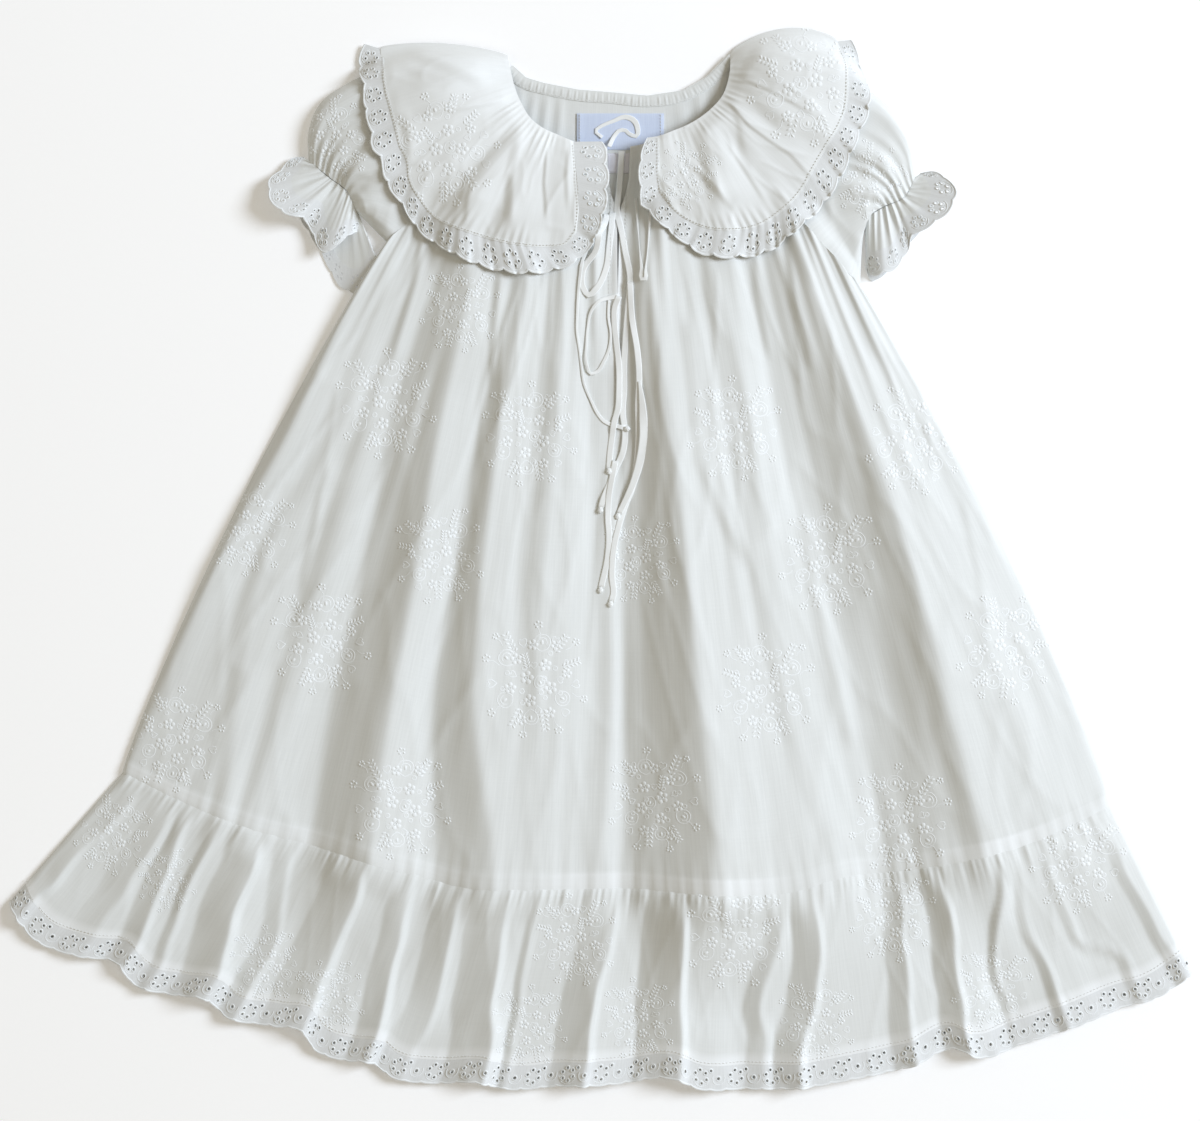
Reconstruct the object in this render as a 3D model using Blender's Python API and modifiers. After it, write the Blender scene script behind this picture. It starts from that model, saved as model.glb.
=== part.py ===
"""A baby's cotton daygown laid out flat, face up, with +Y towards its neck.

Every cloth piece is an open surface with a Solidify wall. Outlines and folds are short tables in millimetres.
A piece that lies on others is dropped on them: its height is what is beneath it plus a clearance.
"""

import math

import bpy
import numpy as np
from mathutils import Matrix, Vector
from mathutils.bvhtree import BVHTree

MM = 0.001
NAME = "daygown"

# --- driving sizes, mm -------------------------------------------------------------------------------------
CENTRE_Y = 1.8  # middle of the whole garment's length, so that the origin is under its middle
CENTRE_X = 0.0
CLOTH = 1.2  # wall of the cloth pieces
CUFF_CLOTH = 1.0  # wall of the cuffs' frills and trims
GAP = 0.3  # between pieces in height
SEAM = 0.5  # between pieces in plan, along a seam
CUFF_SEAM = 1.3  # the same where the cuff's lobes fold over
TRIM = 14.0  # width of the eyelet trim
FLOOR_LIFT = 1.9  # how far the collar's hidden back part lifts what lies on it
FLAT = 3.5  # the front cloth's lowest height, over the back cloth
NECK = (8.0, 262.0)  # middle of the neck opening
LIFT_FROM, LIFT_TO = 152.0, 196.0  # distance from the neck's middle over which that lift fades
TIE_RADIUS = 1.5
CASING = 6.0
LABEL = (48.0, 20.0, 1.0)
SIZE_LABEL = (13.0, 11.0, 1.0)

PANEL_COLUMNS, PANEL_ROWS = 44, 13
BACK_COLUMNS = 22
FRILL_SPLIT = 2  # columns of a frill for each column of its panel

# --- colours ------------------------------------------------------------------------------------------------
COTTON = (0.86, 0.87, 0.86)
TRIM_WHITE = (0.90, 0.91, 0.91)
LABEL_BLUE = (0.70, 0.79, 0.88)

# --- outlines, mm -------------------------------------------------------------------------------------------
# Shares of the panels' width between which the upper edge is the neck; outside them it is the raglan seams.
NECK_FROM, NECK_TO = 10 / 44, 32 / 44
# Upper edges from underarm to underarm: share of the width, x, y
FRONT_TOP = (
    (0.00, -119.0, 177.0),
    (NECK_FROM, -44.0, 242.0),
    (0.32, -28.6, 234.0),
    (0.41, -13.0, 230.7),
    (0.50, 9.2, 229.6),
    (0.55, 18.7, 230.7),
    (0.63, 34.7, 234.0),
    (NECK_TO, 56.7, 244.5),
    (1.00, 142.0, 152.6),
)
BACK_TOP = (
    (0.00, -119.0, 177.0),
    (NECK_FROM, -49.5, 275.0),
    (0.27, -42.0, 268.0),
    (0.33, -32.0, 265.0),
    (0.42, -13.0, 261.3),
    (0.50, 6.0, 259.8),
    (0.58, 25.0, 258.0),
    (0.64, 45.0, 261.0),
    (0.69, 58.0, 268.5),
    (NECK_TO, 70.0, 281.0),
    (1.00, 142.0, 152.6),
)
# The seam between panels and frills, and the outer edge of the hem's trim, from left to right: x, y
SEAM_LINE = (
    (-265.0, -116.0),
    (-231.0, -132.0),
    (-194.0, -147.0),
    (-153.5, -158.0),
    (-110.0, -170.0),
    (-80.0, -178.0),
    (-43.0, -180.0),
    (22.5, -180.0),
    (60.0, -182.0),
    (108.0, -180.0),
    (130.0, -174.0),
    (169.0, -170.0),
    (199.0, -164.0),
    (230.0, -156.0),
    (282.0, -134.0),
)
HEM_LINE = (
    (-328.0, -188.0),
    (-300.0, -211.0),
    (-260.0, -228.0),
    (-212.0, -247.0),
    (-165.0, -262.0),
    (-111.0, -282.0),
    (-54.0, -290.0),
    (0.0, -289.0),
    (53.0, -291.0),
    (108.0, -290.0),
    (160.0, -281.0),
    (209.0, -270.0),
    (264.0, -254.0),
    (328.0, -226.0),
)
SIDE_BULGE = 10.0  # how far the panels' sides curve out
SLIT_AT = 0.5  # share of the width
SLIT_END_Y = 112.0
SLIT_GAP = 3.0

# --- folds of the front panel, mm ------------------------------------------------------------------------------
# Each line is a valley or a crest: x at five heights on the panel, then z at three of them.
FOLD_Y = (150.0, 75.0, 0.0, -75.0, -150.0)
FOLD_Z_Y = (150.0, 0.0, -150.0)
FOLDS = (
    # name, x at y 150, 75, 0, -75, -150, z at y 150, 0, -150
    ("left edge", -142, -177, -218, -251, -282, 3.8, 3.6, 3.6),
    ("left rim", -133, -167, -208, -241, -268, 5.0, 7.0, 6.5),
    ("valley b1", -125, -158, -190, -213, -228, 4.6, 5.0, 4.0),
    ("crest b1", -119, -149, -180, -197, -208, 5.0, 7.5, 8.5),
    ("valley b2", -109, -135, -159, -180, -196, 4.6, 4.8, 4.6),
    ("crest b2", -103, -127, -151, -172, -187, 6.0, 6.8, 5.6),
    ("valley c", -93, -118, -130, -148, -159, 4.4, 4.0, 4.0),
    ("crest c", -71, -88, -102, -116, -127, 8.5, 17.5, 18.0),
    ("valley d", -51, -67, -80, -94, -91, 6.5, 7.0, 6.0),
    ("crest d", -39, -55, -64, -70, -61, 8.5, 16.0, 17.0),
    ("valley e", -29, -39, -48, -50, -46, 6.5, 11.0, 12.0),
    ("crest e", -20, -22, -32, -38, -33, 8.0, 14.0, 13.0),
    ("valley f", -9, -10, -6, -8, -17, 6.0, 8.5, 9.0),
    ("crest f", 0, 0, 4, 6, -4, 6.6, 11.0, 12.0),
    ("valley g", 12, 9, 12, 12, 13, 4.8, 3.8, 3.8),
    ("crest g", 24, 39, 45, 55, 63, 8.0, 20.0, 21.0),
    ("valley h", 56, 67, 79, 92, 104, 6.0, 10.0, 10.0),
    ("crest h", 66, 83, 89, 101, 113, 8.5, 12.5, 11.0),
    ("valley i", 90, 102, 128, 147, 161, 5.0, 4.2, 4.0),
    ("crest i", 114, 146, 172, 189, 211, 8.0, 21.0, 20.0),
    ("right edge", 152, 193, 224, 257, 290, 4.0, 3.6, 3.6),
)
# --- folds of the front frill -----------------------------------------------------------------------------------
# name, share of the width at the seam, half way down and at the hem, half width of the rise, its height, mm
FRILL_FOLDS = (
    ("a", 0.006, 0.012, 0.020, 0.004, 3.0),
    ("b", 0.072, 0.087, 0.106, 0.007, 6.0),
    ("c", 0.108, 0.120, 0.140, 0.004, 4.0),
    ("d", 0.137, 0.154, 0.178, 0.010, 10.0),
    ("e", 0.175, 0.195, 0.212, 0.005, 3.0),
    ("f", 0.235, 0.250, 0.255, 0.014, 7.0),
    ("g", 0.298, 0.308, 0.322, 0.009, 8.0),
    ("h", 0.343, 0.352, 0.354, 0.006, 4.0),
    ("i", 0.392, 0.390, 0.418, 0.011, 9.0),
    ("j", 0.485, 0.490, 0.487, 0.012, 10.0),
    ("k", 0.555, 0.553, 0.568, 0.020, 13.0),
    ("l", 0.668, 0.672, 0.661, 0.009, 8.0),
    ("m", 0.768, 0.760, 0.758, 0.008, 7.0),
    ("n", 0.802, 0.802, 0.807, 0.010, 8.0),
    ("o", 0.860, 0.850, 0.848, 0.006, 4.0),
    ("q", 0.890, 0.888, 0.885, 0.006, 4.0),
    ("r", 0.978, 0.980, 0.985, 0.005, 3.0),
)
FRILL_WIDTH = 620.0  # turns a share of the width into mm across the frill

# --- collar --------------------------------------------------------------------------------------------------------
# From the shoulder fold round to the neck at centre front: the cloth's edge x, y, then the trim's edge x, y.
# Row CORNER is the front corner, where the outer edge turns up the front edge.
CORNER = 13
COLLAR_LEFT = (
    (-123, 285, -133, 287),
    (-121, 272, -135, 275),
    (-118, 255, -131, 256),
    (-114, 239, -127, 236),
    (-110, 225, -124, 224),
    (-106, 212, -118, 207),
    (-101, 200, -110, 194),
    (-93, 190, -99, 180),
    (-80, 183, -84, 170),
    (-65, 178, -66, 162),
    (-48, 174, -47, 158),
    (-30, 173, -30, 159),
    (-19, 175, -15, 164),
    (-14, 181, -4, 175),
    (-12, 196, 2, 192),
    (-13, 213, 4, 211),
    (-15, 231, 2, 231),
)
COLLAR_RIGHT = (
    (130, 288, 139, 289),
    (134, 277, 143, 276),
    (135, 263, 147, 262),
    (134, 250, 147, 248),
    (130, 239, 142, 236),
    (124, 229, 138, 226),
    (117, 217, 131, 210),
    (109, 203, 121, 195),
    (98, 192, 107, 182),
    (87, 185, 91, 170),
    (74, 182, 75, 167),
    (58, 183, 57, 168),
    (43, 190, 38, 180),
    (31, 203, 21, 196),
    (30, 212, 20, 207),
    (30, 222, 20, 219),
    (30, 234, 24, 233),
)
NECK_LEFT = ((-52, 279.5), (-50, 270), (-48, 262), (-44, 252), (-39, 244), (-32, 238.5), (-24, 235), (-15, 232))
NECK_RIGHT = ((71, 281), (70, 268), (66, 256.5), (61, 250.5), (53, 244), (46, 240), (38, 237), (30, 235.5))
# Ridges of the collar's cloth: share of the way round at the neck and at the edge, half width, height, mm
RIDGES_LEFT = (
    (0.09, 0.10, 0.05, 3.0),
    (0.22, 0.22, 0.06, 4.0),
    (0.43, 0.46, 0.07, 5.0),
    (0.62, 0.61, 0.05, 4.0),
    (0.77, 0.77, 0.05, 4.0),
    (0.90, 0.88, 0.04, 3.0),
)
RIDGES_RIGHT = (
    (0.15, 0.20, 0.08, 3.0),
    (0.34, 0.40, 0.06, 4.0),
    (0.50, 0.56, 0.05, 4.5),
    (0.74, 0.68, 0.05, 4.0),
    (0.87, 0.85, 0.05, 3.0),
)
# The hidden back part of the collar, from shoulder fold to shoulder fold: neck x, y, cloth edge x, y, trim x, y
COLLAR_BACK = (
    (-51, 274, -122, 281, -133, 283),
    (-48, 267, -120, 245, -132, 242),
    (-41, 263, -107, 208, -117, 200),
    (-28, 260, -84, 178, -90, 166),
    (-12, 258, -45, 160, -49, 147),
    (8, 257, 8, 154, 8, 141),
    (26, 256, 60, 161, 64, 148),
    (43, 258, 97, 181, 104, 170),
    (56, 264, 121, 211, 131, 204),
    (64, 271, 130, 246, 141, 244),
    (69, 277, 130, 283, 139, 285),
)

# --- sleeves -------------------------------------------------------------------------------------------------------
# All x, y. "neck" runs from the shoulder fold to the front panel's corner, and the front edge goes on down the
# raglan seam to the underarm. The others run outwards from there: shoulder fold, underarm edge, line of elastic.
SLEEVE_NECK_SHARE = 0.25
SLEEVE_LEFT = {
    "neck": ((-52.5, 273), (-49.5, 260), (-44.6, 242.6)),
    "shoulder": ((-52.5, 273), (-90, 279), (-118, 274), (-140, 265), (-157, 252), (-162.5, 236), (-162, 222)),
    "underarm": ((-119.6, 177.6), (-127, 185), (-135, 193)),
    "elastic": ((-162, 222), (-150, 212), (-141, 205), (-135, 193)),
}
SLEEVE_RIGHT = {
    "neck": ((72.5, 277), (67.5, 262), (57.4, 245.1)),
    "shoulder": ((72.5, 277), (104, 283), (130, 275), (146, 262), (159, 251), (170, 233), (173, 213)),
    "underarm": ((142.7, 153.2), (143.5, 172), (145, 190)),
    "elastic": ((173, 213), (166, 201), (155, 196), (145, 190)),
}
CROWN = 16.0  # how far the sleeves puff up
# Cuff frills: share of the way round the elastic, trim's outer edge x, y, z of its upper side. Front, then back.
CUFF_LEFT = (
    (0.00, -165, 224, 3.0),
    (0.08, -172, 223, 8.0),
    (0.16, -178, 217, 12.0),
    (0.24, -184, 210, 14.0),
    (0.32, -183, 200, 14.0),
    (0.40, -176, 192, 12.0),
    (0.48, -166, 190, 9.0),
    (0.55, -162, 184, 6.5),
    (0.62, -158, 175, 8.0),
    (0.70, -152, 170, 10.0),
    (0.80, -145, 175, 9.0),
    (0.90, -140, 178, 6.0),
    (1.00, -132, 172, 3.0),
)
CUFF_LEFT_BACK = ((0.92, -133, 162), (0.78, -139, 154), (0.60, -147, 163), (0.40, -158, 180), (0.20, -172, 203))
CUFF_RIGHT = (
    (0.00, 176, 215, 3.0),
    (0.08, 184, 215, 8.0),
    (0.16, 191, 210, 12.0),
    (0.24, 195, 202, 14.0),
    (0.32, 190, 192, 14.0),
    (0.40, 181, 185, 12.0),
    (0.48, 171, 179, 9.0),
    (0.56, 169, 172, 7.0),
    (0.66, 162, 162, 9.0),
    (0.78, 154, 158.5, 10.0),
    (0.88, 149, 158, 6.0),
    (1.00, 146, 163, 3.0),
)
CUFF_RIGHT_BACK = ((0.80, 150, 155), (0.60, 160, 163), (0.40, 172, 178), (0.20, 184, 196))

# --- ties: routes as x, y ----------------------------------------------------------------------------------------------
TIES = {
    "tie_neck_loop": (
        (3.9, 228.7), (6.9, 235.4), (9.4, 238.3), (12.7, 238.7), (15.4, 236.3), (19.3, 235.4),
        (19.6, 240.2), (17.9, 243.8), (13.6, 245.9), (5.9, 243.5), (-0.7, 240.6), (-3.6, 238.4), (0.2, 234.6),
    ),
    "tie_long_middle": (
        (10.7, 226.9), (10.2, 217.5), (9.3, 204.9), (8.3, 193.4), (10.7, 182.9), (12.7, 171.5), (15.4, 157.2),
        (14.5, 142.9), (13.2, 127.9), (12.1, 108.1), (12.1, 94.9), (11.4, 81.7), (12.7, 72.0), (11.6, 61.3),
        (7.2, 50.9), (3.9, 42.6), (0.6, 34.4), (-0.6, 30.0),
    ),
    "tie_bow_loop_left": (
        (1.6, 186.0), (-1.1, 181.5), (-3.4, 171.5), (-10.5, 160.9), (-10.6, 151.5), (-7.2, 147.1), (-3.3, 150.4),
        (2.0, 160.9), (4.2, 176.0), (5.5, 190.0),
    ),
    "tie_tail_left": (
        (-12.0, 158.5), (-12.9, 149.9), (-13.6, 137.8), (-13.8, 126.8), (-12.6, 118.0), (-11.4, 108.1),
        (-9.9, 98.2), (-6.1, 89.4), (-2.2, 81.7), (1.1, 77.8), (6.6, 75.6), (12.7, 74.0),
    ),
    "tie_bow_loop_low": (
        (9.4, 146.6), (3.3, 145.5), (-1.4, 143.9), (-5.9, 138.3), (-7.9, 129.0), (-8.6, 120.2), (-8.5, 109.1),
        (-6.2, 103.9), (-2.9, 104.8), (1.1, 110.8), (4.4, 119.6), (4.9, 126.0), (3.6, 134.5), (3.3, 142.0),
    ),
    "tie_tail_centre": (
        (9.4, 146.6), (7.2, 141.1), (6.9, 131.2), (7.9, 121.3), (9.2, 109.2), (9.4, 94.9), (8.8, 85.0),
        (6.6, 76.4), (5.5, 68.8), (4.4, 60.0), (3.9, 51.5),
    ),
    "tie_bow_loop_right": (
        (19.3, 191.1), (20.4, 178.0), (20.9, 166.4), (22.0, 158.0), (24.4, 158.0), (25.6, 166.4), (26.0, 178.0),
        (26.4, 191.1),
    ),
    "tie_tail_short": (
        (7.4, 56.0), (5.4, 46.0), (3.9, 37.1), (3.3, 25.0), (3.9, 12.9), (2.8, 0.8), (0.6, -9.1), (-0.6, -14.0),
    ),
    "tie_tail_right": (
        (15.4, 154.3), (16.5, 134.5), (19.4, 116.0), (20.4, 101.5), (19.8, 88.3), (20.0, 69.0), (19.0, 54.0),
        (16.6, 41.0), (12.7, 31.1), (9.4, 20.6), (6.6, 8.5), (5.5, -7.4), (6.1, -18.4), (5.0, -21.7),
    ),
    "tie_tail_outer": (
        (22.0, 92.0), (22.6, 80.5), (22.9, 69.0), (20.9, 56.1), (17.3, 44.0), (12.9, 34.1), (9.2, 26.6),
    ),
}


# --- curves -------------------------------------------------------------------------------------------------------------
def spline(q, at, values):
    """Smooth curve through the values given at the knots, sampled at q."""
    q, at, values = np.asarray(q, float), np.asarray(at, float), np.asarray(values, float)
    slope = np.gradient(values, at, axis=0)
    i = np.clip(np.searchsorted(at, q, side="right") - 1, 0, len(at) - 2)
    step = at[i + 1] - at[i]
    f = (q - at[i]) / step
    if values.ndim > 1:
        f, step = f[..., None], step[..., None]
    return (
        (1 + 2 * f) * (1 - f) ** 2 * values[i]
        + f * (1 - f) ** 2 * step * slope[i]
        + f * f * (3 - 2 * f) * values[i + 1]
        + f * f * (f - 1) * step * slope[i + 1]
    )


def path(points, q):
    """Points at shares q of the length of the smooth curve through points."""
    points = np.asarray(points, float)
    knots = np.r_[0, np.cumsum(np.linalg.norm(np.diff(points, axis=0), axis=1))]
    fine = spline(np.linspace(0, knots[-1], 600), knots, points)
    length = np.r_[0, np.cumsum(np.linalg.norm(np.diff(fine, axis=0), axis=1))]
    share = length / length[-1]
    return np.stack([np.interp(q, share, fine[:, i]) for i in range(fine.shape[1])], axis=-1)


def bent_path(points, q):
    """Points at shares q of the length of the straight lines through points, for an edge with real corners."""
    points = np.asarray(points, float)
    knots = np.r_[0, np.cumsum(np.linalg.norm(np.diff(points, axis=0), axis=1))]
    return np.stack([np.interp(q, knots / knots[-1], points[:, i]) for i in range(2)], axis=-1)


def ease(low, high, x):
    """0 below low, 1 above high, smooth between."""
    f = np.clip((np.asarray(x, float) - low) / (high - low), 0, 1)
    return f * f * (3 - 2 * f)


def blend(a, b, f):
    return a + (b - a) * f


# --- heights ---------------------------------------------------------------------------------------------------------
def rest(x, y):
    """How far the collar's hidden back part lifts the cloth above it."""
    return FLOOR_LIFT * (1 - ease(LIFT_FROM, LIFT_TO, np.hypot(x - NECK[0], y - NECK[1])))


def hinged(x, lines, heights, rounding):
    """Height at x of straight slopes between fold lines, with each bend rounded."""
    slopes = np.diff(heights, axis=-1) / np.diff(lines, axis=-1)
    z = heights[..., 0] + slopes[..., 0] * (x - lines[..., 0])
    for k in range(1, slopes.shape[-1]):
        d = x - lines[..., k]
        z = z + (slopes[..., k] - slopes[..., k - 1]) * 0.5 * (d + np.sqrt(d * d + rounding**2))
    return z


def panel_height(x, y):
    """Upper side of the front panel's cloth."""
    table = np.array([row[1:] for row in FOLDS], float)
    at = np.clip(y, -158, 158)
    lines = np.stack([spline(-at, [-v for v in FOLD_Y], row[:5]) for row in table], axis=-1)
    heights = np.stack([spline(-at, [-v for v in FOLD_Z_Y], row[5:]) for row in table], axis=-1)
    return rest(x, y) + np.maximum(hinged(x, lines, heights, 5.0), FLAT)


def frill_height(s, t):
    """Upper side of the front frill's cloth, share s across and t from seam to hem."""
    lines, heights = [np.full(s.shape, -0.01)], [np.full(s.shape, FLAT + 0.3)]
    for _, top, middle, hem, half, height in FRILL_FOLDS:
        centre = spline(t, (0.08, 0.5, 1.0), (top, middle, hem))
        low = FLAT + 0.2
        for line, z in ((centre - half, low), (centre + half, low + height * (0.45 + 0.55 * t))):
            lines.append(np.maximum(line, lines[-1] + 0.003))
            heights.append(z + 0 * s)
    lines.append(np.full(s.shape, 1.01))
    heights.append(np.full(s.shape, FLAT + 0.3))
    z = hinged(s * FRILL_WIDTH, np.stack(lines, -1) * FRILL_WIDTH, np.stack(heights, -1), 3.0)
    return np.maximum(z, FLAT)


def ridge_height(a, r, ridges, full=0.25):
    """Ridges of the gathered collar, share a round it and r from neck to edge."""
    z = 0 * a
    for neck, edge, half, height in ridges:
        centre = blend(neck, edge, r)
        z = z + height * ease(-0.05, full, r) * np.exp(-(((a - centre) / half) ** 2))
    return z


# --- meshes -------------------------------------------------------------------------------------------------------------
def material(name, colour, roughness=0.9):
    made = bpy.data.materials.new(name)
    made.use_nodes = True
    shader = made.node_tree.nodes["Principled BSDF"]
    shader.inputs["Base Color"].default_value = (*colour, 1)
    shader.inputs["Roughness"].default_value = roughness
    shader.inputs["Metallic"].default_value = 0.0
    return made


class Garment:
    """The collection that the pieces go in, and the layers that later pieces lie on."""

    def __init__(self):
        self.collection = bpy.data.collections.new(NAME)
        bpy.context.scene.collection.children.link(self.collection)
        self.layers = []

    def add(self, name, data, colour):
        data.materials.append(material(name, colour))
        made = bpy.data.objects.new(name, data)
        self.collection.objects.link(made)
        return made

    def cloth(self, name, grid, colour=COTTON, closed=False, slit=None, wall=CLOTH):
        """A sheet through a grid of points: rows by columns by x, y, z of its upper or outer side."""
        rows, columns = grid.shape[:2]
        points = [tuple(p) for p in grid.reshape(-1, 3)]
        index = np.arange(rows * columns).reshape(rows, columns)
        left, right = index.copy(), index.copy()
        if slit:
            column, end = slit
            for row in range(end):
                x, y, z = points[index[row, column]]
                half = SLIT_GAP / 2 * (1 - row / end)
                points[index[row, column]] = (x - half, y, z)
                right[row, column] = len(points)
                points.append((x + half, y, z))
        faces = [
            (right[i, j], right[i + 1, j], left[i + 1, j + 1], left[i, j + 1])
            for i in range(rows - 1)
            for j in range(columns - 1)
        ]
        if closed:
            faces += [(index[i, -1], index[i + 1, -1], index[i + 1, 0], index[i, 0]) for i in range(rows - 1)]
        faces = [tuple(int(v) for v in face) for face in faces]
        self.layers.append(BVHTree.FromPolygons([Vector(p) for p in points], faces))
        data = bpy.data.meshes.new(name)
        data.from_pydata([self.placed(p) for p in points], [], faces)
        made = self.add(name, data, colour)
        shell = made.modifiers.new("wall", "SOLIDIFY")
        shell.thickness = wall * MM
        shell.offset = -1.0
        return made

    def plate(self, name, size, middle, colour):
        """A label lying on the inside of the back panel at the neck."""
        low = rest(*NECK) + CLOTH + GAP
        bpy.ops.mesh.primitive_cube_add(size=1)
        made = bpy.context.object
        made.name = made.data.name = name
        for holder in list(made.users_collection):
            holder.objects.unlink(made)
        self.collection.objects.link(made)
        made.data.transform(Matrix.Diagonal((size[0] * MM, size[1] * MM, size[2] * MM, 1)))
        made.data.materials.append(material(name, colour))
        made.location = self.placed((*middle, low + size[2] / 2))
        corners = [(-0.5, -0.5), (0.5, -0.5), (0.5, 0.5), (-0.5, 0.5)]
        top = [Vector((middle[0] + i * size[0], middle[1] + j * size[1], low + size[2])) for i, j in corners]
        self.layers.append(BVHTree.FromPolygons(top, [(0, 1, 2, 3)]))

    @staticmethod
    def placed(point):
        return ((point[0] - CENTRE_X) * MM, (point[1] - CENTRE_Y) * MM, point[2] * MM)

    def top(self, x, y):
        """Highest cloth so far at x, y."""
        best = 0.0
        for layer in self.layers:
            hit = layer.ray_cast(Vector((x, y, 400.0)), Vector((0, 0, -1)))[0]
            if hit is not None:
                best = max(best, hit.z)
        return best

    def beneath(self, xy, reach):
        """Highest cloth so far within reach of each point."""
        ring = [(0.0, 0.0)] + [
            (share * reach * math.cos(turn), share * reach * math.sin(turn))
            for share in (0.5, 1.0)
            for turn in np.arange(8) * math.tau / 8
        ]
        flat = xy.reshape(-1, 2)
        found = [max(self.top(x + dx, y + dy) for dx, dy in ring) for x, y in flat]
        return np.array(found).reshape(xy.shape[:-1])


# --- pieces -------------------------------------------------------------------------------------------------------------
def seam_plan(s, columns):
    """The seam, as straight between the panel's columns as its faces are."""
    nodes = np.linspace(0, 1, columns + 1)
    line = path(SEAM_LINE, nodes)
    return np.stack([np.interp(s, nodes, line[:, i]) for i in (0, 1)], axis=-1)


def panel_plan(top, s, t, columns):
    """Plan of a panel, share s across and t from its upper edge down to the seam."""
    table = np.array(top)
    upper = np.stack([np.interp(s, table[:, 0], table[:, i]) for i in (1, 2)], axis=-1)
    plan = blend(upper, seam_plan(s, columns), t[..., None])
    side = np.abs(2 * s - 1) ** 3 * np.sign(2 * s - 1)
    plan[..., 0] += SIDE_BULGE * side * np.clip(np.sin(np.pi * t), 0, 1) ** 0.7
    return plan


def frill_plan(s, mm_from_seam, mm_from_hem, share, columns):
    """Plan of a frill or its trim: a share of the way between a distance below the seam and one above the hem."""
    upper, outer = seam_plan(s, columns), path(HEM_LINE, s)
    way = (outer - upper) / np.linalg.norm(outer - upper, axis=-1, keepdims=True)
    return blend(upper + way * mm_from_seam, outer - way * mm_from_hem, share[..., None])


def trim_plan(s, share, columns):
    """Plan of the hem's trim, from the frill's edge to its own."""
    inner = frill_plan(s, 0, TRIM - SEAM, np.ones_like(s), columns)
    outer = frill_plan(s, 0, 0, np.ones_like(s), columns)
    return blend(inner, outer, share[..., None])


def raised(plan, z):
    return np.concatenate([plan, np.broadcast_to(z, plan.shape[:-1])[..., None]], axis=-1)


def shares(columns, rows):
    return np.meshgrid(np.linspace(0, 1, columns + 1), rows)


def build_back(garment):
    s, t = shares(BACK_COLUMNS, (0.0, 0.12, 0.24, 0.32, 0.38, 0.45, 0.7, 1.0))
    plan = panel_plan(BACK_TOP, s, t, BACK_COLUMNS)
    garment.cloth("back_panel", raised(plan, CLOTH + rest(plan[..., 0], plan[..., 1])))
    columns = BACK_COLUMNS * FRILL_SPLIT
    s, t = shares(columns, (0.0, 0.5, 1.0))
    garment.cloth("back_frill", raised(frill_plan(s, SEAM, TRIM, t, BACK_COLUMNS), CLOTH))
    s, t = shares(columns, (0.0, 1.0))
    garment.cloth("back_hem_trim", raised(trim_plan(s, t, BACK_COLUMNS), CLOTH), TRIM_WHITE)


def build_front(garment):
    s, t = shares(PANEL_COLUMNS, np.linspace(0, 1, PANEL_ROWS + 1))
    plan = panel_plan(FRONT_TOP, s, t, PANEL_COLUMNS)
    slit = round(SLIT_AT * PANEL_COLUMNS)
    end = int(np.argmin(np.abs(plan[:, slit, 1] - SLIT_END_Y)))
    z = panel_height(plan[..., 0], plan[..., 1])
    garment.cloth("front_panel", raised(plan, z), slit=(slit, end))

    columns = PANEL_COLUMNS * FRILL_SPLIT
    s, t = shares(columns, (0.0, 0.3, 1.0))
    at_seam = panel_height(*np.moveaxis(seam_plan(s, PANEL_COLUMNS), -1, 0))
    z = blend(at_seam, frill_height(s, t), ease(0, 0.42, t))
    garment.cloth("front_frill", raised(frill_plan(s, SEAM, TRIM, t, PANEL_COLUMNS), z))

    s, t = shares(columns, (0.0, 1.0))
    z = frill_height(s, np.ones_like(s))
    garment.cloth("front_hem_trim", raised(trim_plan(s, t, PANEL_COLUMNS), z), TRIM_WHITE)


def sleeve_ring(curves, u, over, under):
    """Points round a sleeve, a share u of the way out: shares over its front, then shares back under it."""
    neck, arm = np.array(curves["neck"], float), np.array(curves["underarm"][0], float)
    knots = (0, SLEEVE_NECK_SHARE / 2, SLEEVE_NECK_SHARE, 1)

    def patch(v, front):
        points = np.array([*neck, arm]) if front else np.array([neck[0], arm])
        near = np.stack([np.interp(v, knots if front else (0, 1), points[:, i]) for i in (0, 1)], axis=-1)
        v = v[:, None]
        far = path(curves["elastic"], v[:, 0])
        sides = blend(path(curves["shoulder"], u), path(curves["underarm"], u), v)
        ends = blend(blend(neck[0], arm, v), blend(np.array(curves["shoulder"][-1]), curves["underarm"][-1], v), u)
        return blend(near, far, u) + sides - ends

    front, back = patch(over, True), patch(under, False)
    low = rest(front[:, 0], front[:, 1])
    crown = CROWN * (0.12 + 0.88 * math.sin(math.pi * (0.1 + 0.86 * u)) ** 0.8)
    z = low + 4.2 + crown * np.sin(np.pi * over) ** 0.6
    z = blend(panel_height(front[:, 0], front[:, 1]) + 0.2, z, ease(0.0, 0.3, u))
    z[over <= 0], z[over >= 1] = low[0] + 2.6, low[-1] + 2.6
    return np.concatenate([raised(front, z), raised(back, rest(back[:, 0], back[:, 1]))])


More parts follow.
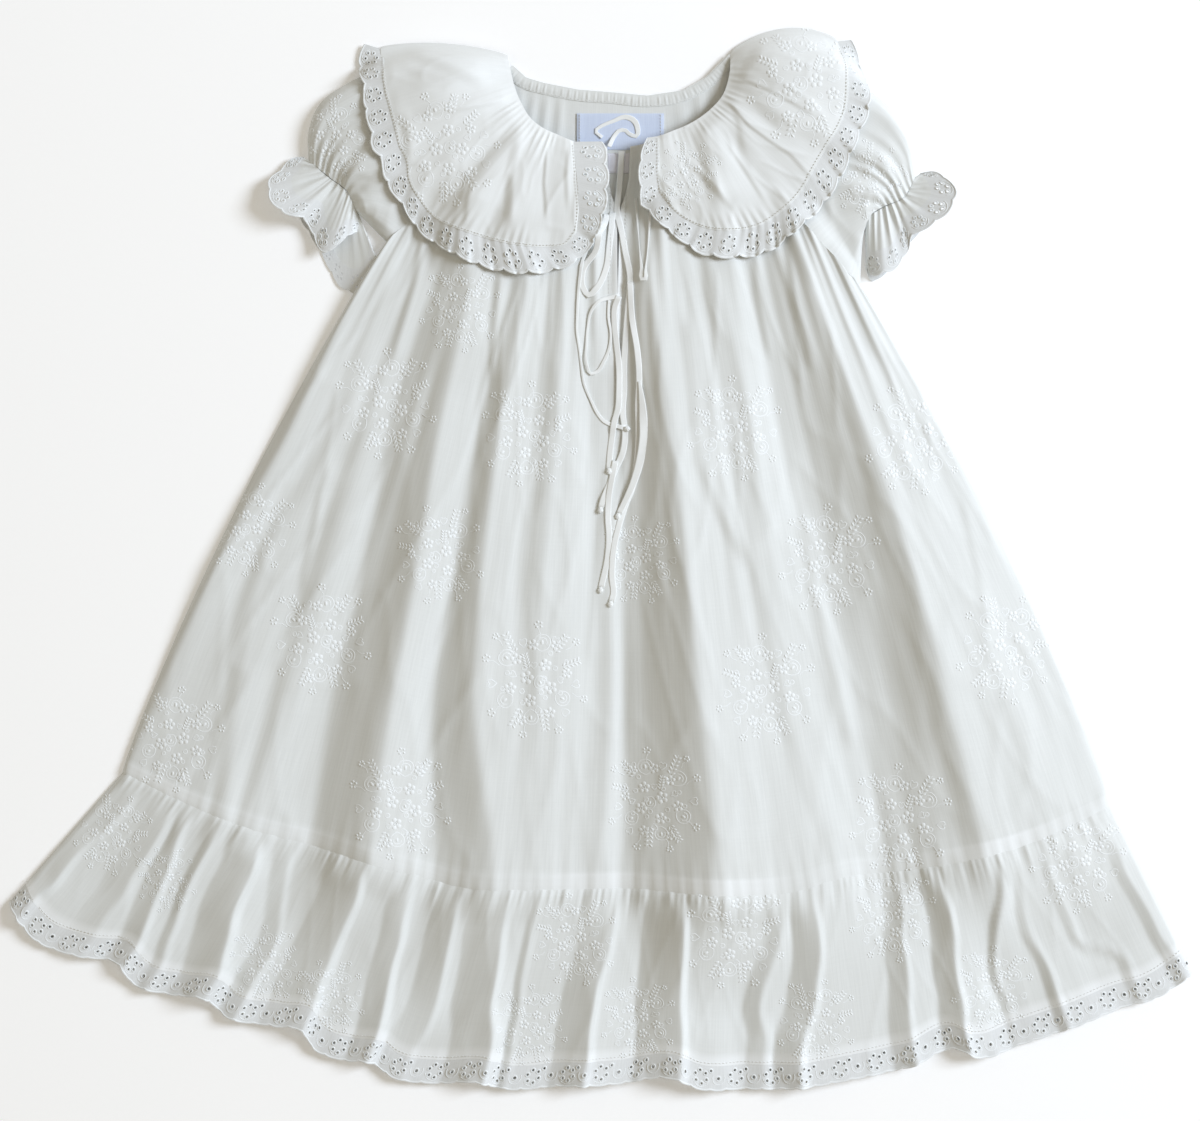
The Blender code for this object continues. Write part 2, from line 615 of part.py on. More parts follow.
def build_sleeve(garment, side, curves, cuff, cuff_back):
    turn = 1 if side == "left" else -1
    over = np.array([0, 0.05, 0.14, SLEEVE_NECK_SHARE, 0.38, 0.5, 0.62, 0.74, 0.86, 0.95, 1.0])
    under = np.array([0.92, 0.7, 0.5, 0.3, 0.08])
    rings = np.stack([sleeve_ring(curves, u, over, under) for u in np.linspace(0, 1, 8)])
    garment.cloth(f"sleeve_{side}", rings[:, ::turn], closed=True)

    inner = sleeve_ring(curves, 1.0, np.array([row[0] for row in cuff]), np.array([row[0] for row in cuff_back]))
    outer = np.array([row[1:] for row in cuff] + [(*row[1:], 0.0) for row in cuff_back], float)
    length = np.linalg.norm((outer - inner)[:, :2], axis=1, keepdims=True)
    way = (outer - inner) / length
    edge = np.maximum(length - TRIM, length * 0.45)
    frill = np.stack([inner + way * CUFF_SEAM, inner + way * blend(CUFF_SEAM, edge, 0.5), inner + way * edge])
    line = inner + way * edge
    along = np.roll(line, -1, axis=0) - np.roll(line, 1, axis=0)
    along /= np.linalg.norm(along, axis=1, keepdims=True)
    oblique = np.linalg.norm(np.cross(way, along), axis=1, keepdims=True)
    trim = np.stack([line + way * CUFF_SEAM / np.maximum(oblique, 0.2), outer])
    garment.cloth(f"cuff_frill_{side}", frill[:, ::turn], closed=True, wall=CUFF_CLOTH)
    garment.cloth(f"cuff_trim_{side}", trim[:, ::turn], TRIM_WHITE, closed=True, wall=CUFF_CLOTH)


def build_collar(garment):
    table = np.array(COLLAR_BACK, float)
    q = np.linspace(0, 1, 17)
    neck, edge, outer = (path(table[:, i : i + 2], q) for i in (0, 2, 4))
    flat = np.stack([neck, blend(neck, edge, 0.5), edge])
    garment.cloth("collar_back", raised(flat, CLOTH))
    flat = np.stack([blend(edge, outer, SEAM / TRIM), outer])
    garment.cloth("collar_trim_back", raised(flat, CLOTH), TRIM_WHITE)


def build_collar_front(garment, side, table, neck, ridges, fold_bulge):
    table = np.array(table, float)
    a, r = np.meshgrid(np.linspace(0, 1, 27), np.linspace(0, 1, 6))
    plan = blend(path(neck, a), path(table[: CORNER + 1, :2], a), r[..., None])
    plan[..., 1] += fold_bulge * (1 - ease(0, 0.25, a)) * np.clip(np.sin(np.pi * r), 0, 1) ** 0.7
    under = garment.beneath(plan, 7.0)
    fold = ease(0.0, 0.09, a)
    z = blend(CLOTH * 2 + GAP * 2, under + CLOTH + GAP + 0.7 + ridge_height(a, r, ridges), fold)
    z = np.maximum(z, np.where(a > 0.001, under + CLOTH + GAP + 0.4, z))
    grid = raised(plan, z)
    if side == "right":
        grid = grid[:, ::-1]

    inner = np.concatenate([path(table[: CORNER + 1, :2], np.linspace(0, 1, 25)), path(table[CORNER:, :2], np.linspace(0, 1, 7))[1:]])
    outer = np.concatenate([path(table[: CORNER + 1, 2:], np.linspace(0, 1, 25)), path(table[CORNER:, 2:], np.linspace(0, 1, 7))[1:]])
    strip = np.stack([blend(inner, outer, SEAM * 1.5 / TRIM), outer])
    high = garment.beneath(strip, 7.0) + CLOTH + GAP + 0.8
    share = np.concatenate([np.linspace(0, 1, 25), np.ones(6)])
    high = np.maximum(high, high.max(axis=0)) + ridge_height(share, np.ones_like(share), ridges) * 0.8
    high[:, 0] = CLOTH * 2 + GAP * 2
    trim = raised(strip, high)
    if side == "right":
        trim = trim[:, ::-1]
    garment.cloth(f"collar_{side}", grid)
    garment.cloth(f"collar_trim_{side}", trim, TRIM_WHITE)


def build_neck(garment):
    """The gathered casing along the back neck, and the two bare labels sewn below it."""
    table = np.array(BACK_TOP)
    neck = table[(table[:, 0] > NECK_FROM - 0.01) & (table[:, 0] < NECK_TO + 0.01), 1:]
    line = path(neck, np.linspace(0.09, 0.93, 25))
    along = np.gradient(line, axis=0)
    down = np.stack([along[:, 1], -along[:, 0]], axis=-1) / np.linalg.norm(along, axis=1, keepdims=True)
    plan = np.stack([line + down * 0.4, line + down * (0.4 + CASING)])
    garment.cloth("neck_casing", raised(plan, CLOTH * 2 + GAP + rest(*NECK)))
    garment.plate("neck_label", LABEL, (10.1, 238.0), LABEL_BLUE)
    garment.plate("size_label", SIZE_LABEL, (9.5, 220.5), COTTON)


def build_ties(garment):
    for name, route in TIES.items():
        route = np.array(route)
        length = np.linalg.norm(np.diff(route, axis=0), axis=1).sum()
        count = max(6, int(length / (TIE_RADIUS * 2 * 2.2)))
        plan = path(route, np.linspace(0, 1, count))
        z = garment.beneath(plan, TIE_RADIUS + 2.2) + TIE_RADIUS + GAP
        curve = bpy.data.curves.new(name, "CURVE")
        curve.dimensions = "3D"
        curve.bevel_depth = TIE_RADIUS * MM
        curve.bevel_resolution = 2
        curve.use_fill_caps = True
        curve.render_resolution_u = 0
        line = curve.splines.new("POLY")
        line.points.add(count - 1)
        for point, (x, y), height in zip(line.points, plan, z):
            point.co = (*garment.placed((x, y, height)), 1)
        made = garment.add(name, curve, COTTON)
        bpy.context.view_layer.update()
        shape = made.evaluated_get(bpy.context.evaluated_depsgraph_get()).to_mesh()
        points = [Vector((v.co.x / MM + CENTRE_X, v.co.y / MM + CENTRE_Y, v.co.z / MM)) for v in shape.vertices]
        garment.layers.append(BVHTree.FromPolygons(points, [tuple(p.vertices) for p in shape.polygons]))


def main():
    for old in list(bpy.data.objects):
        bpy.data.objects.remove(old, do_unlink=True)
    garment = Garment()
    build_collar(garment)
    build_back(garment)
    build_neck(garment)
    build_front(garment)
    build_sleeve(garment, "left", SLEEVE_LEFT, CUFF_LEFT, CUFF_LEFT_BACK)
    build_sleeve(garment, "right", SLEEVE_RIGHT, CUFF_RIGHT, CUFF_RIGHT_BACK)
    build_collar_front(garment, "left", COLLAR_LEFT, NECK_LEFT, RIDGES_LEFT, 4.5)
    build_collar_front(garment, "right", COLLAR_RIGHT, NECK_RIGHT, RIDGES_RIGHT, 10.0)
    build_ties(garment)


main()
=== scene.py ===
import logging
import math
from dataclasses import dataclass, field
from enum import Enum
from typing import Callable, Iterable, Optional, Sequence

import bmesh
import bpy
import numpy as np
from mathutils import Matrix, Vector
from mathutils.bvhtree import BVHTree
from mathutils.geometry import delaunay_2d_cdt


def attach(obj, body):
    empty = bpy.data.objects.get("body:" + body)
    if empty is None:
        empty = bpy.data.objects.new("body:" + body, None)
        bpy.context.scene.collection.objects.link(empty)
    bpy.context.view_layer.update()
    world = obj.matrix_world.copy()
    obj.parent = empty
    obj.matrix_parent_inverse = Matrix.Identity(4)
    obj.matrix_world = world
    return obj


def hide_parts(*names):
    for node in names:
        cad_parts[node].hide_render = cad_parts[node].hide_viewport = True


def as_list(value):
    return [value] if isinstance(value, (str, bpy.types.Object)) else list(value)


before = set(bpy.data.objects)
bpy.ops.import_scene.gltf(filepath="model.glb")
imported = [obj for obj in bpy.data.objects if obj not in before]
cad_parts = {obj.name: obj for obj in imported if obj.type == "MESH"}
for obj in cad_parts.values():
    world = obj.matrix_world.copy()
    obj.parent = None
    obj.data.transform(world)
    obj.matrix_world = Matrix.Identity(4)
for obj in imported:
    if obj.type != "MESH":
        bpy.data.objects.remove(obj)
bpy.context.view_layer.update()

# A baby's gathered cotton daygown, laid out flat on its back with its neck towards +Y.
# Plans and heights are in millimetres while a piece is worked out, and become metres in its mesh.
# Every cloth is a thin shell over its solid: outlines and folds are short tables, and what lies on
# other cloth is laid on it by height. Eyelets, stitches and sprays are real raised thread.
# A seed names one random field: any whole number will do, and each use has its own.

Array = np.ndarray
log = logging.getLogger("daygown")

MM = 0.001
CENTRE_Y = 1.8  # middle of the garment's length
WALL = 0.45  # thickness of the voile
LACE_WALL = 0.5  # thickness of the eyelet trim
TUCK = 1.0  # how far a frill or a trim goes in under what it is sewn to
TRIM = 14.0  # depth of the eyelet trim
FLOOR_LIFT = 1.9  # how far the collar's hidden back part lifts what lies over it
FLAT = 3.5  # the front cloth's lowest height
BACK_Z = 1.05  # the back cloth's upper side where it lies flat
SIDE_GAP = 0.25  # from the back cloth up to the front's at the side folds
NECK = (8.0, 262.0)  # the middle of the neck, x, y
LIFT_FROM, LIFT_TO = 152.0, 196.0  # distances from the neck between which that lift fades out
CASING = 6.0  # depth of the neck's casing
SLIT_AT = 0.5  # the slit's share of the front's width
SLIT_TOP_X = 9.2  # its upper end, x
SLIT_END_Y = 112.0  # its lower end, y
SLIT_GAP = 0.04  # its width besides the opening's, at its upper end
FOLD_ROUND = 2.2  # how far the panel's fold lines are rounded
FRILL_ROUND = 0.7  # the same of the frill's
FRILL_KEPT = (0.32, 0.6)  # share of a fold's height kept past its drop, at the left and at the right
FRILL_DROP = 3.2  # width of a frill fold's drop past its crest
CREASE_FADE = 15.0  # how far a crease takes to fade in and out at its ends
PLEAT_TOP = 0.88  # where a pleat's crest is, as a share of its width
THREAD_FOOT = -0.06  # how far thread goes down into its cloth
# Half the width of the opening at the neck, mm, at heights y
OPENING = (
    (112.0, 0.0), (147.0, 0.02), (165.0, 0.3), (188.0, 0.6), (196.0, 1.3), (203.0, 4.0), (212.0, 5.6),
    (232.0, 6.4),
)
SIDE_BULGE = 10.0  # how far the sides bow outwards

# --- outlines, mm ---
NECK_FROM, NECK_TO = 10 / 44, 32 / 44
# Upper edges from underarm to underarm: share of the width, x, y
FRONT_TOP = (
    (0.00, -119.0, 177.0), (NECK_FROM, -44.0, 242.0), (0.32, -28.6, 234.0), (0.41, -13.0, 230.7),
    (0.50, 9.2, 229.6), (0.55, 18.7, 230.7), (0.63, 34.7, 234.0), (NECK_TO, 56.7, 244.5),
    (1.00, 142.0, 152.6),
)
BACK_TOP = (
    (0.00, -119.0, 177.0), (NECK_FROM, -49.5, 275.0), (0.27, -42.0, 268.0), (0.33, -32.0, 265.0),
    (0.42, -13.0, 261.3), (0.50, 6.0, 259.8), (0.58, 25.0, 258.0), (0.64, 45.0, 261.0),
    (0.69, 58.0, 268.5), (NECK_TO, 70.0, 281.0), (1.00, 142.0, 152.6),
)
SEAM_LINE = (
    (-265, -116), (-231, -132), (-194, -147), (-153.5, -158), (-110, -170), (-80, -178), (-43, -180),
    (22.5, -180), (60, -182), (108, -180), (130, -174), (169, -170), (199, -164), (230, -156), (282, -134),
)
HEM_LINE = (
    (-328, -188), (-313, -209), (-288, -218), (-267, -222), (-260, -232), (-238, -239), (-218, -241),
    (-209, -250),
    (-182, -256), (-166, -258), (-159, -269), (-143, -275), (-128, -276), (-117, -284), (-93, -288),
    (-67, -287),
    (-58, -290), (-20, -289), (8, -288), (42, -285), (51, -289.5), (80, -291), (110, -290), (135, -286),
    (169, -279), (197, -269), (206, -273), (233, -266), (262, -256), (288, -246), (305, -241), (328, -226),
)

# --- folds of the front panel, mm: x at five places down from the middle, then z at three of them ---
FOLD_AT = (-150.0, -75.0, 0.0, 75.0, 150.0)
FOLD_Z_AT = (-150.0, 0.0, 150.0)
FOLDS = (
    ("left edge", -142, -177, -218, -251, -282, 3.8, 3.6, 3.6),
    ("left rim", -138, -172, -213, -245, -272, 9.2, 7.2, 4.6),
    ("valley b1", -126, -150, -193, -209, -217, 7.0, 5.2, 9.0),
    ("crest b1", -118, -143, -185, -200, -209, 6.2, 7.2, 12.0),
    ("valley b2", -110, -137, -161, -184, -204, 4.6, 4.8, 8.8),
    ("crest b2", -103, -127, -152, -175, -196, 4.6, 7.6, 10.2),
    ("valley c", -94, -117, -131, -149, -160, 4.4, 4.0, 4.0),
    ("crest c", -73, -89, -101, -115, -127, 12.5, 18.5, 19.0),
    ("valley d", -52, -68, -80, -93, -92, 7.5, 11.5, 9.0),
    ("crest d", -41, -57, -65, -70, -61, 12.0, 20.0, 20.0),
    ("valley e", -30, -38, -46, -46, -44, 8.0, 15.0, 15.6),
    ("crest e", -22, -25, -32, -36, -33, 10.4, 17.0, 13.2),
    ("valley f", -9, -7, -4, -5, -12, 6.0, 7.6, 8.0),
    ("crest f", -1, 1, 4, 6, 0, 6.6, 8.4, 9.2),
    ("valley g", 11, 11, 11, 11, 12, 4.6, 4.6, 4.6),
    ("crest g", 27, 37, 46, 53, 61, 12.5, 22.8, 26.0),
    ("valley h", 56, 67, 80, 93, 118, 8.0, 13.5, 13.2),
    ("crest h", 66, 82, 88, 100, 127, 10.0, 15.0, 12.8),
    ("valley i", 86, 98, 117, 140, 154, 4.8, 4.2, 4.0),
    ("knee i", 99, 117, 138, 160, 172, 8.0, 7.6, 7.4),
    ("crest i", 115, 143, 170, 189, 208, 12.5, 19.5, 19.5),
    ("right edge", 152, 193, 224, 257, 290, 4.0, 3.6, 3.6),
)
# Small creases, mm: rise width, height, tail, then the line's points. The high side is on the line's left.
CREASES = (
    (9.0, 1.6, 16.0, ((105, 30), (111, 5), (115, -20), (120, -45), (127, -70), (136, -107))),
    (7.0, 1.5, 12.0, ((44, 140), (49, 90), (52, 55), (62, 30), (80, -5))),
    (6.0, 0.8, 10.0, ((116, 185), (133, 150), (145, 130), (156, 102))),
    (5.0, 1.6, 8.0, ((82, 200), (84, 150), (92, 108))),
    (5.0, 1.2, 9.0, ((99, 200), (104, 150), (115, 102))),
    (5.0, 1.5, 8.0, ((-97, 195), (-104, 155), (-119, 105))),
    (5.0, 1.7, 8.0, ((-55, 200), (-58, 155), (-63, 95))),
    (4.0, 0.7, 6.0, ((-13, 200), (-14, 155), (-15, 102))),
    (4.0, 0.6, 6.0, ((-6, 200), (-6, 155), (-3, 102))),
    (5.0, 1.0, 7.0, ((122, 190), (133, 155), (151, 108))),
    (3.0, 0.8, 7.0, ((31, 128), (30, 90), (33, 52))),
    (4.0, 0.8, 9.0, ((2, 60), (-3, 10), (-9, -60))),
    (4.0, 0.9, 9.0, ((-150, 60), (-158, 30), (-168, -20))),
    (4.0, 0.8, 9.0, ((196, 40), (205, 0), (212, -40))),
)
COLLAR_CREASES_LEFT = (
    (8.0, 1.9, 9.0, ((-42, 243), (-60, 222), (-84, 193))),
    (6.0, 1.6, 9.0, ((-45, 240), (-51, 212), (-52, 178))),
    (2.2, 1.1, 12.0, ((-30, 232), (-32, 208), (-30, 180))),
    (3.0, 1.3, 10.0, ((-104, 243), (-74, 248), (-48, 254))),
    (8.0, 1.6, 12.0, ((-112, 282), (-86, 271), (-60, 259))),
    (6.0, 1.5, 8.0, ((-111, 250), (-107, 232), (-108, 212))),
    (3.0, 0.8, 7.0, ((-70, 212), (-74, 198), (-76, 178))),
    (3.0, 0.9, 6.0, ((-18, 234), (-20, 212), (-19, 188))),
)
COLLAR_CREASES_RIGHT = (
    (1.8, 0.8, 6.0, ((64, 259), (80, 239), (92, 230), (103, 223), (118, 207))),
    (2.5, 0.8, 12.0, ((70, 269), (99, 254), (122, 240))),
    (9.0, 2.4, 14.0, ((49, 248), (56, 222), (64, 190))),
    (2.5, 0.9, 6.0, ((66, 232), (79, 213), (92, 193))),
    (4.0, 1.2, 6.0, ((45, 221), (60, 206), (74, 189))),
    (8.0, 1.4, 10.0, ((90, 292), (82, 277), (72, 264))),
)
# --- folds of the front frill: share of the width of each rise at seven heights, half its width in mm, then
# its height above the hollow before it at the seam, the middle and the hem, mm ---
FRILL_T = (0.04, 0.25, 0.40, 0.55, 0.70, 0.85, 0.96)
FRILL_Z_T = (0.05, 0.50, 0.95)
FRILL_FOLDS = (
    ("a", 0.020, 0.019, 0.017, 0.012, 0.012, 0.013, 0.009, 4.0, 1.5, 2.5, 5.0),
    ("b0", 0.050, 0.056, 0.058, 0.058, 0.062, 0.060, 0.062, 7.0, 2.0, 3.0, 1.2),
    ("b", 0.071, 0.076, 0.083, 0.088, 0.092, 0.097, 0.101, 5.5, 3.5, 4.5, 5.0),
    ("c", 0.108, 0.110, 0.112, 0.116, 0.122, 0.126, 0.131, 2.6, 2.0, 3.0, 2.5),
    ("d", 0.134, 0.146, 0.148, 0.151, 0.158, 0.163, 0.168, 10.0, 4.0, 7.5, 8.5),
    ("e", 0.173, 0.184, 0.192, 0.201, 0.205, 0.203, 0.203, 5.0, 1.5, 2.0, 4.0),
    ("f", 0.236, 0.244, 0.244, 0.244, 0.245, 0.245, 0.248, 11.5, 4.5, 6.5, 6.5),
    ("g", 0.298, 0.300, 0.305, 0.307, 0.311, 0.315, 0.317, 6.0, 3.0, 5.0, 7.0),
    ("h", 0.338, 0.344, 0.347, 0.350, 0.352, 0.350, 0.345, 7.5, 3.0, 4.0, 2.0),
    ("i", 0.385, 0.385, 0.389, 0.392, 0.394, 0.402, 0.404, 11.0, 2.5, 6.5, 8.5),
    ("i2", 0.426, 0.426, 0.427, 0.428, 0.432, 0.432, 0.434, 2.0, 1.0, 2.0, 2.5),
    ("j", 0.490, 0.490, 0.489, 0.484, 0.484, 0.484, 0.486, 9.0, 2.0, 6.5, 8.0),
    ("k", 0.550, 0.551, 0.552, 0.552, 0.553, 0.556, 0.557, 12.0, 7.0, 9.5, 10.5),
    ("l1", 0.655, 0.653, 0.646, 0.637, 0.633, 0.638, 0.636, 4.5, 1.5, 3.5, 2.0),
    ("l2", 0.678, 0.683, 0.683, 0.678, 0.674, 0.664, 0.660, 8.0, 3.5, 6.0, 7.5),
    ("m", 0.768, 0.768, 0.762, 0.762, 0.760, 0.756, 0.755, 5.5, 2.5, 4.5, 4.5),
    ("n", 0.803, 0.808, 0.808, 0.804, 0.802, 0.802, 0.799, 6.5, 3.5, 6.0, 6.5),
    ("o", 0.872, 0.867, 0.856, 0.848, 0.843, 0.846, 0.846, 2.0, 1.5, 3.0, 1.0),
    ("q", 0.892, 0.885, 0.880, 0.880, 0.885, 0.886, 0.886, 2.5, 0.8, 1.5, 3.5),
    ("p", 0.913, 0.915, 0.916, 0.918, 0.920, 0.948, 0.948, 2.5, 1.0, 1.5, 2.0),
    ("r", 0.968, 0.980, 0.978, 0.980, 0.982, 0.982, 0.985, 3.0, 1.0, 2.0, 2.5),
)
FRILL_LOW = 4.2  # height of the frill's hollows
FRILL_WIDTH = 620.0  # the width that the table's shares are of, mm

# --- collar: from the shoulder fold to the neck at centre front: cloth edge x, y, then trim edge x, y ---
COLLAR_FRONT_ROWS = 4  # rows from the corner up to the neck
COLLAR_LEFT = (
    (-122.5, 284, -132.5, 287), (-121, 272, -135, 276), (-119, 258, -131.5, 260), (-116, 247, -131, 249),
    (-113, 236, -128, 238), (-111, 227.5, -126, 226.5), (-107.5, 221, -121.5, 219.5),
    (-105.5, 209, -119, 208),
    (-99.5, 198, -111, 197), (-92, 189.5, -100, 181), (-80, 183, -84, 170), (-65, 178, -66, 162),
    (-48, 174, -47, 158), (-30, 173, -30, 159), (-19, 175, -15, 164), (-14, 181, -4, 175), (-12, 196, 2, 192),
    (-13, 213, 4, 211), (-15, 231, 2, 231),
)
COLLAR_RIGHT = (
    (130, 288, 139, 289), (134, 277, 143, 276), (135, 263, 147, 262), (134, 250, 147, 248),
    (130, 239, 142, 236), (124, 229, 138, 226), (117, 217, 131, 210), (109, 203, 121, 195),
    (98, 192, 107, 182), (87, 185, 91, 170), (74, 182, 75, 167), (58, 183, 57, 168), (43, 190, 38, 180),
    (31, 203, 21, 196), (30, 212, 20, 207), (30, 222, 20, 219), (30, 234, 24, 233),
)
NECK_LEFT = (
    (-52, 279.5), (-50, 270), (-48, 262), (-44, 252), (-39, 244), (-32, 238.5), (-24, 235), (-15, 232),
)
NECK_RIGHT = (
    (71, 281), (70, 268), (66, 256.5), (61, 250.5), (53, 244), (46, 240), (38, 237), (30, 235.5),
)
# Folds of the collar: share of the way round at three distances from the neck, then z at three, mm. The left
# half's go from the shoulder to the front, the right half's from the front to the shoulder.
COLLAR_R = (0.15, 0.45, 0.80)
COLLAR_Z_R = (0.15, 0.50, 0.90)
COLLAR_FOLDS_LEFT = (
    ("start", -0.02, -0.02, -0.02, 0.6, 0.6, 0.8),
    ("a low", 0.06, 0.05, 0.05, 0.2, 0.3, 0.2),
    ("a top", 0.13, 0.14, 0.09, 1.4, 2.6, 2.2),
    ("a foot", 0.16, 0.165, 0.12, 0.8, 1.2, 1.0),
    ("b low", 0.22, 0.19, 0.16, 0.2, 0.3, 0.4),
    ("b top", 0.33, 0.29, 0.27, 2.4, 4.2, 3.4),
    ("c low", 0.37, 0.34, 0.33, 0.8, 0.6, 0.8),
    ("c top", 0.46, 0.45, 0.46, 1.8, 2.8, 2.8),
    ("d low", 0.53, 0.525, 0.54, 0.8, 1.4, 1.4),
    ("d top", 0.58, 0.565, 0.59, 1.8, 2.8, 3.0),
    ("e low", 0.675, 0.690, 0.705, 0.6, 1.2, 1.3),
    ("e top", 0.73, 0.745, 0.755, 1.8, 2.6, 2.8),
    ("f low", 0.825, 0.850, 0.895, 0.6, 0.6, 0.6),
    ("f top", 0.93, 0.965, 0.985, 2.0, 3.0, 3.0),
    ("end", 1.02, 1.02, 1.03, 2.0, 3.0, 3.0),
)
COLLAR_FOLDS_RIGHT = (
    ("start", -0.02, -0.02, -0.02, 1.6, 2.6, 3.0),
    ("a low", 0.155, 0.105, 0.10, 0.4, 0.4, 1.0),
    ("a top", 0.275, 0.26, 0.25, 0.9, 1.4, 2.6),
    ("b low", 0.325, 0.295, 0.285, 0.4, 0.8, 1.6),
    ("b top", 0.395, 0.335, 0.32, 1.4, 1.6, 2.4),
    ("c low", 0.57, 0.42, 0.42, 0.6, 0.8, 1.0),
    ("c top", 0.60, 0.46, 0.475, 1.2, 2.0, 2.2),
    ("d low", 0.70, 0.62, 0.64, 0.4, 0.4, 0.4),
    ("d top", 0.76, 0.68, 0.68, 1.2, 1.0, 1.0),
    ("e low", 0.86, 0.75, 0.80, 0.6, 0.4, 0.4),
    ("e top", 0.93, 0.85, 0.88, 1.0, 1.2, 1.4),
    ("end", 1.02, 1.02, 1.02, 0.6, 0.6, 0.6),
)
# The hidden back part of the collar: neck x, y, cloth edge x, y, trim x, y
COLLAR_BACK = (
    (-51, 274, -122, 281, -133, 283), (-48, 267, -120, 245, -132, 242), (-41, 263, -107, 208, -117, 200),
    (-28, 260, -84, 178, -90, 166), (-12, 258, -45, 160, -49, 147), (8, 257, 8, 154, 8, 141),
    (26, 256, 60, 161, 64, 148), (43, 258, 97, 181, 104, 170), (56, 264, 121, 211, 131, 204),
    (64, 271, 130, 246, 141, 244), (69, 277, 130, 283, 139, 285),
)

# --- sleeves: creases as the panel's ---
SLEEVE_NECK_SHARE = 0.25  # share of a sleeve's inner edge that its neck points take
SLEEVE_CREASES_LEFT = (
    (4.0, 1.3, 8.0, ((-118, 214), (-130, 206), (-142, 199))),
    (3.0, 1.0, 6.0, ((-118, 203), (-130, 200), (-141, 197))),
    (5.0, 1.2, 9.0, ((-122, 237), (-134, 222), (-144, 205))),
)
SLEEVE_CREASES_RIGHT = (
    (3.0, 1.2, 8.0, ((158, 203), (146, 203), (132, 206))),
    (3.0, 1.2, 8.0, ((156, 196), (144, 196), (128, 200))),
    (5.0, 1.5, 9.0, ((158, 206), (149, 215), (141, 226))),
    (5.0, 1.5, 9.0, ((162, 208), (157, 219), (152, 232))),
    (4.0, 1.2, 8.0, ((150, 172), (143, 179), (136, 182))),
)
# Cuff frills: share of the way round the elastic, trim's outer edge x, y, z. Front, then back.
CUFF_LEFT = (
    (0.00, -165, 224, 3.0), (0.08, -172, 223, 2.5), (0.16, -178, 217, 3.5), (0.24, -184, 210, 8.0),
    (0.32, -183, 200, 12.0), (0.40, -176, 192, 13.5), (0.48, -166, 189, 12.5), (0.53, -163, 187, 6.0),
    (0.60, -159, 178, 5.5), (0.70, -153, 170, 8.5), (0.80, -145, 175, 8.5), (0.90, -139, 180, 6.0),
    (1.00, -133, 181, 3.0),
)
CUFF_LEFT_BACK = (
    (0.92, -124, 166, 6.5), (0.80, -129, 151, 5.0), (0.62, -143, 151, 1.2), (0.42, -155, 170, 0.3),
    (0.20, -172, 203, 0.3),
)
CUFF_RIGHT = (
    (0.00, 176, 215, 3.0), (0.08, 184, 215, 8.0), (0.16, 191, 210, 12.0), (0.24, 195, 202, 14.0),
    (0.32, 190, 192, 14.0), (0.40, 181, 185, 12.0), (0.48, 171, 179, 9.0), (0.56, 169, 172, 7.0),
    (0.66, 162, 162, 9.0), (0.78, 154, 158.5, 10.0), (0.88, 149, 158, 6.0), (1.00, 146, 163, 3.0),
)
CUFF_RIGHT_BACK = ((0.80, 150, 155, 0.3), (0.60, 160, 163, 0.3), (0.40, 172, 178, 0.3), (0.20, 184, 196, 0.3))

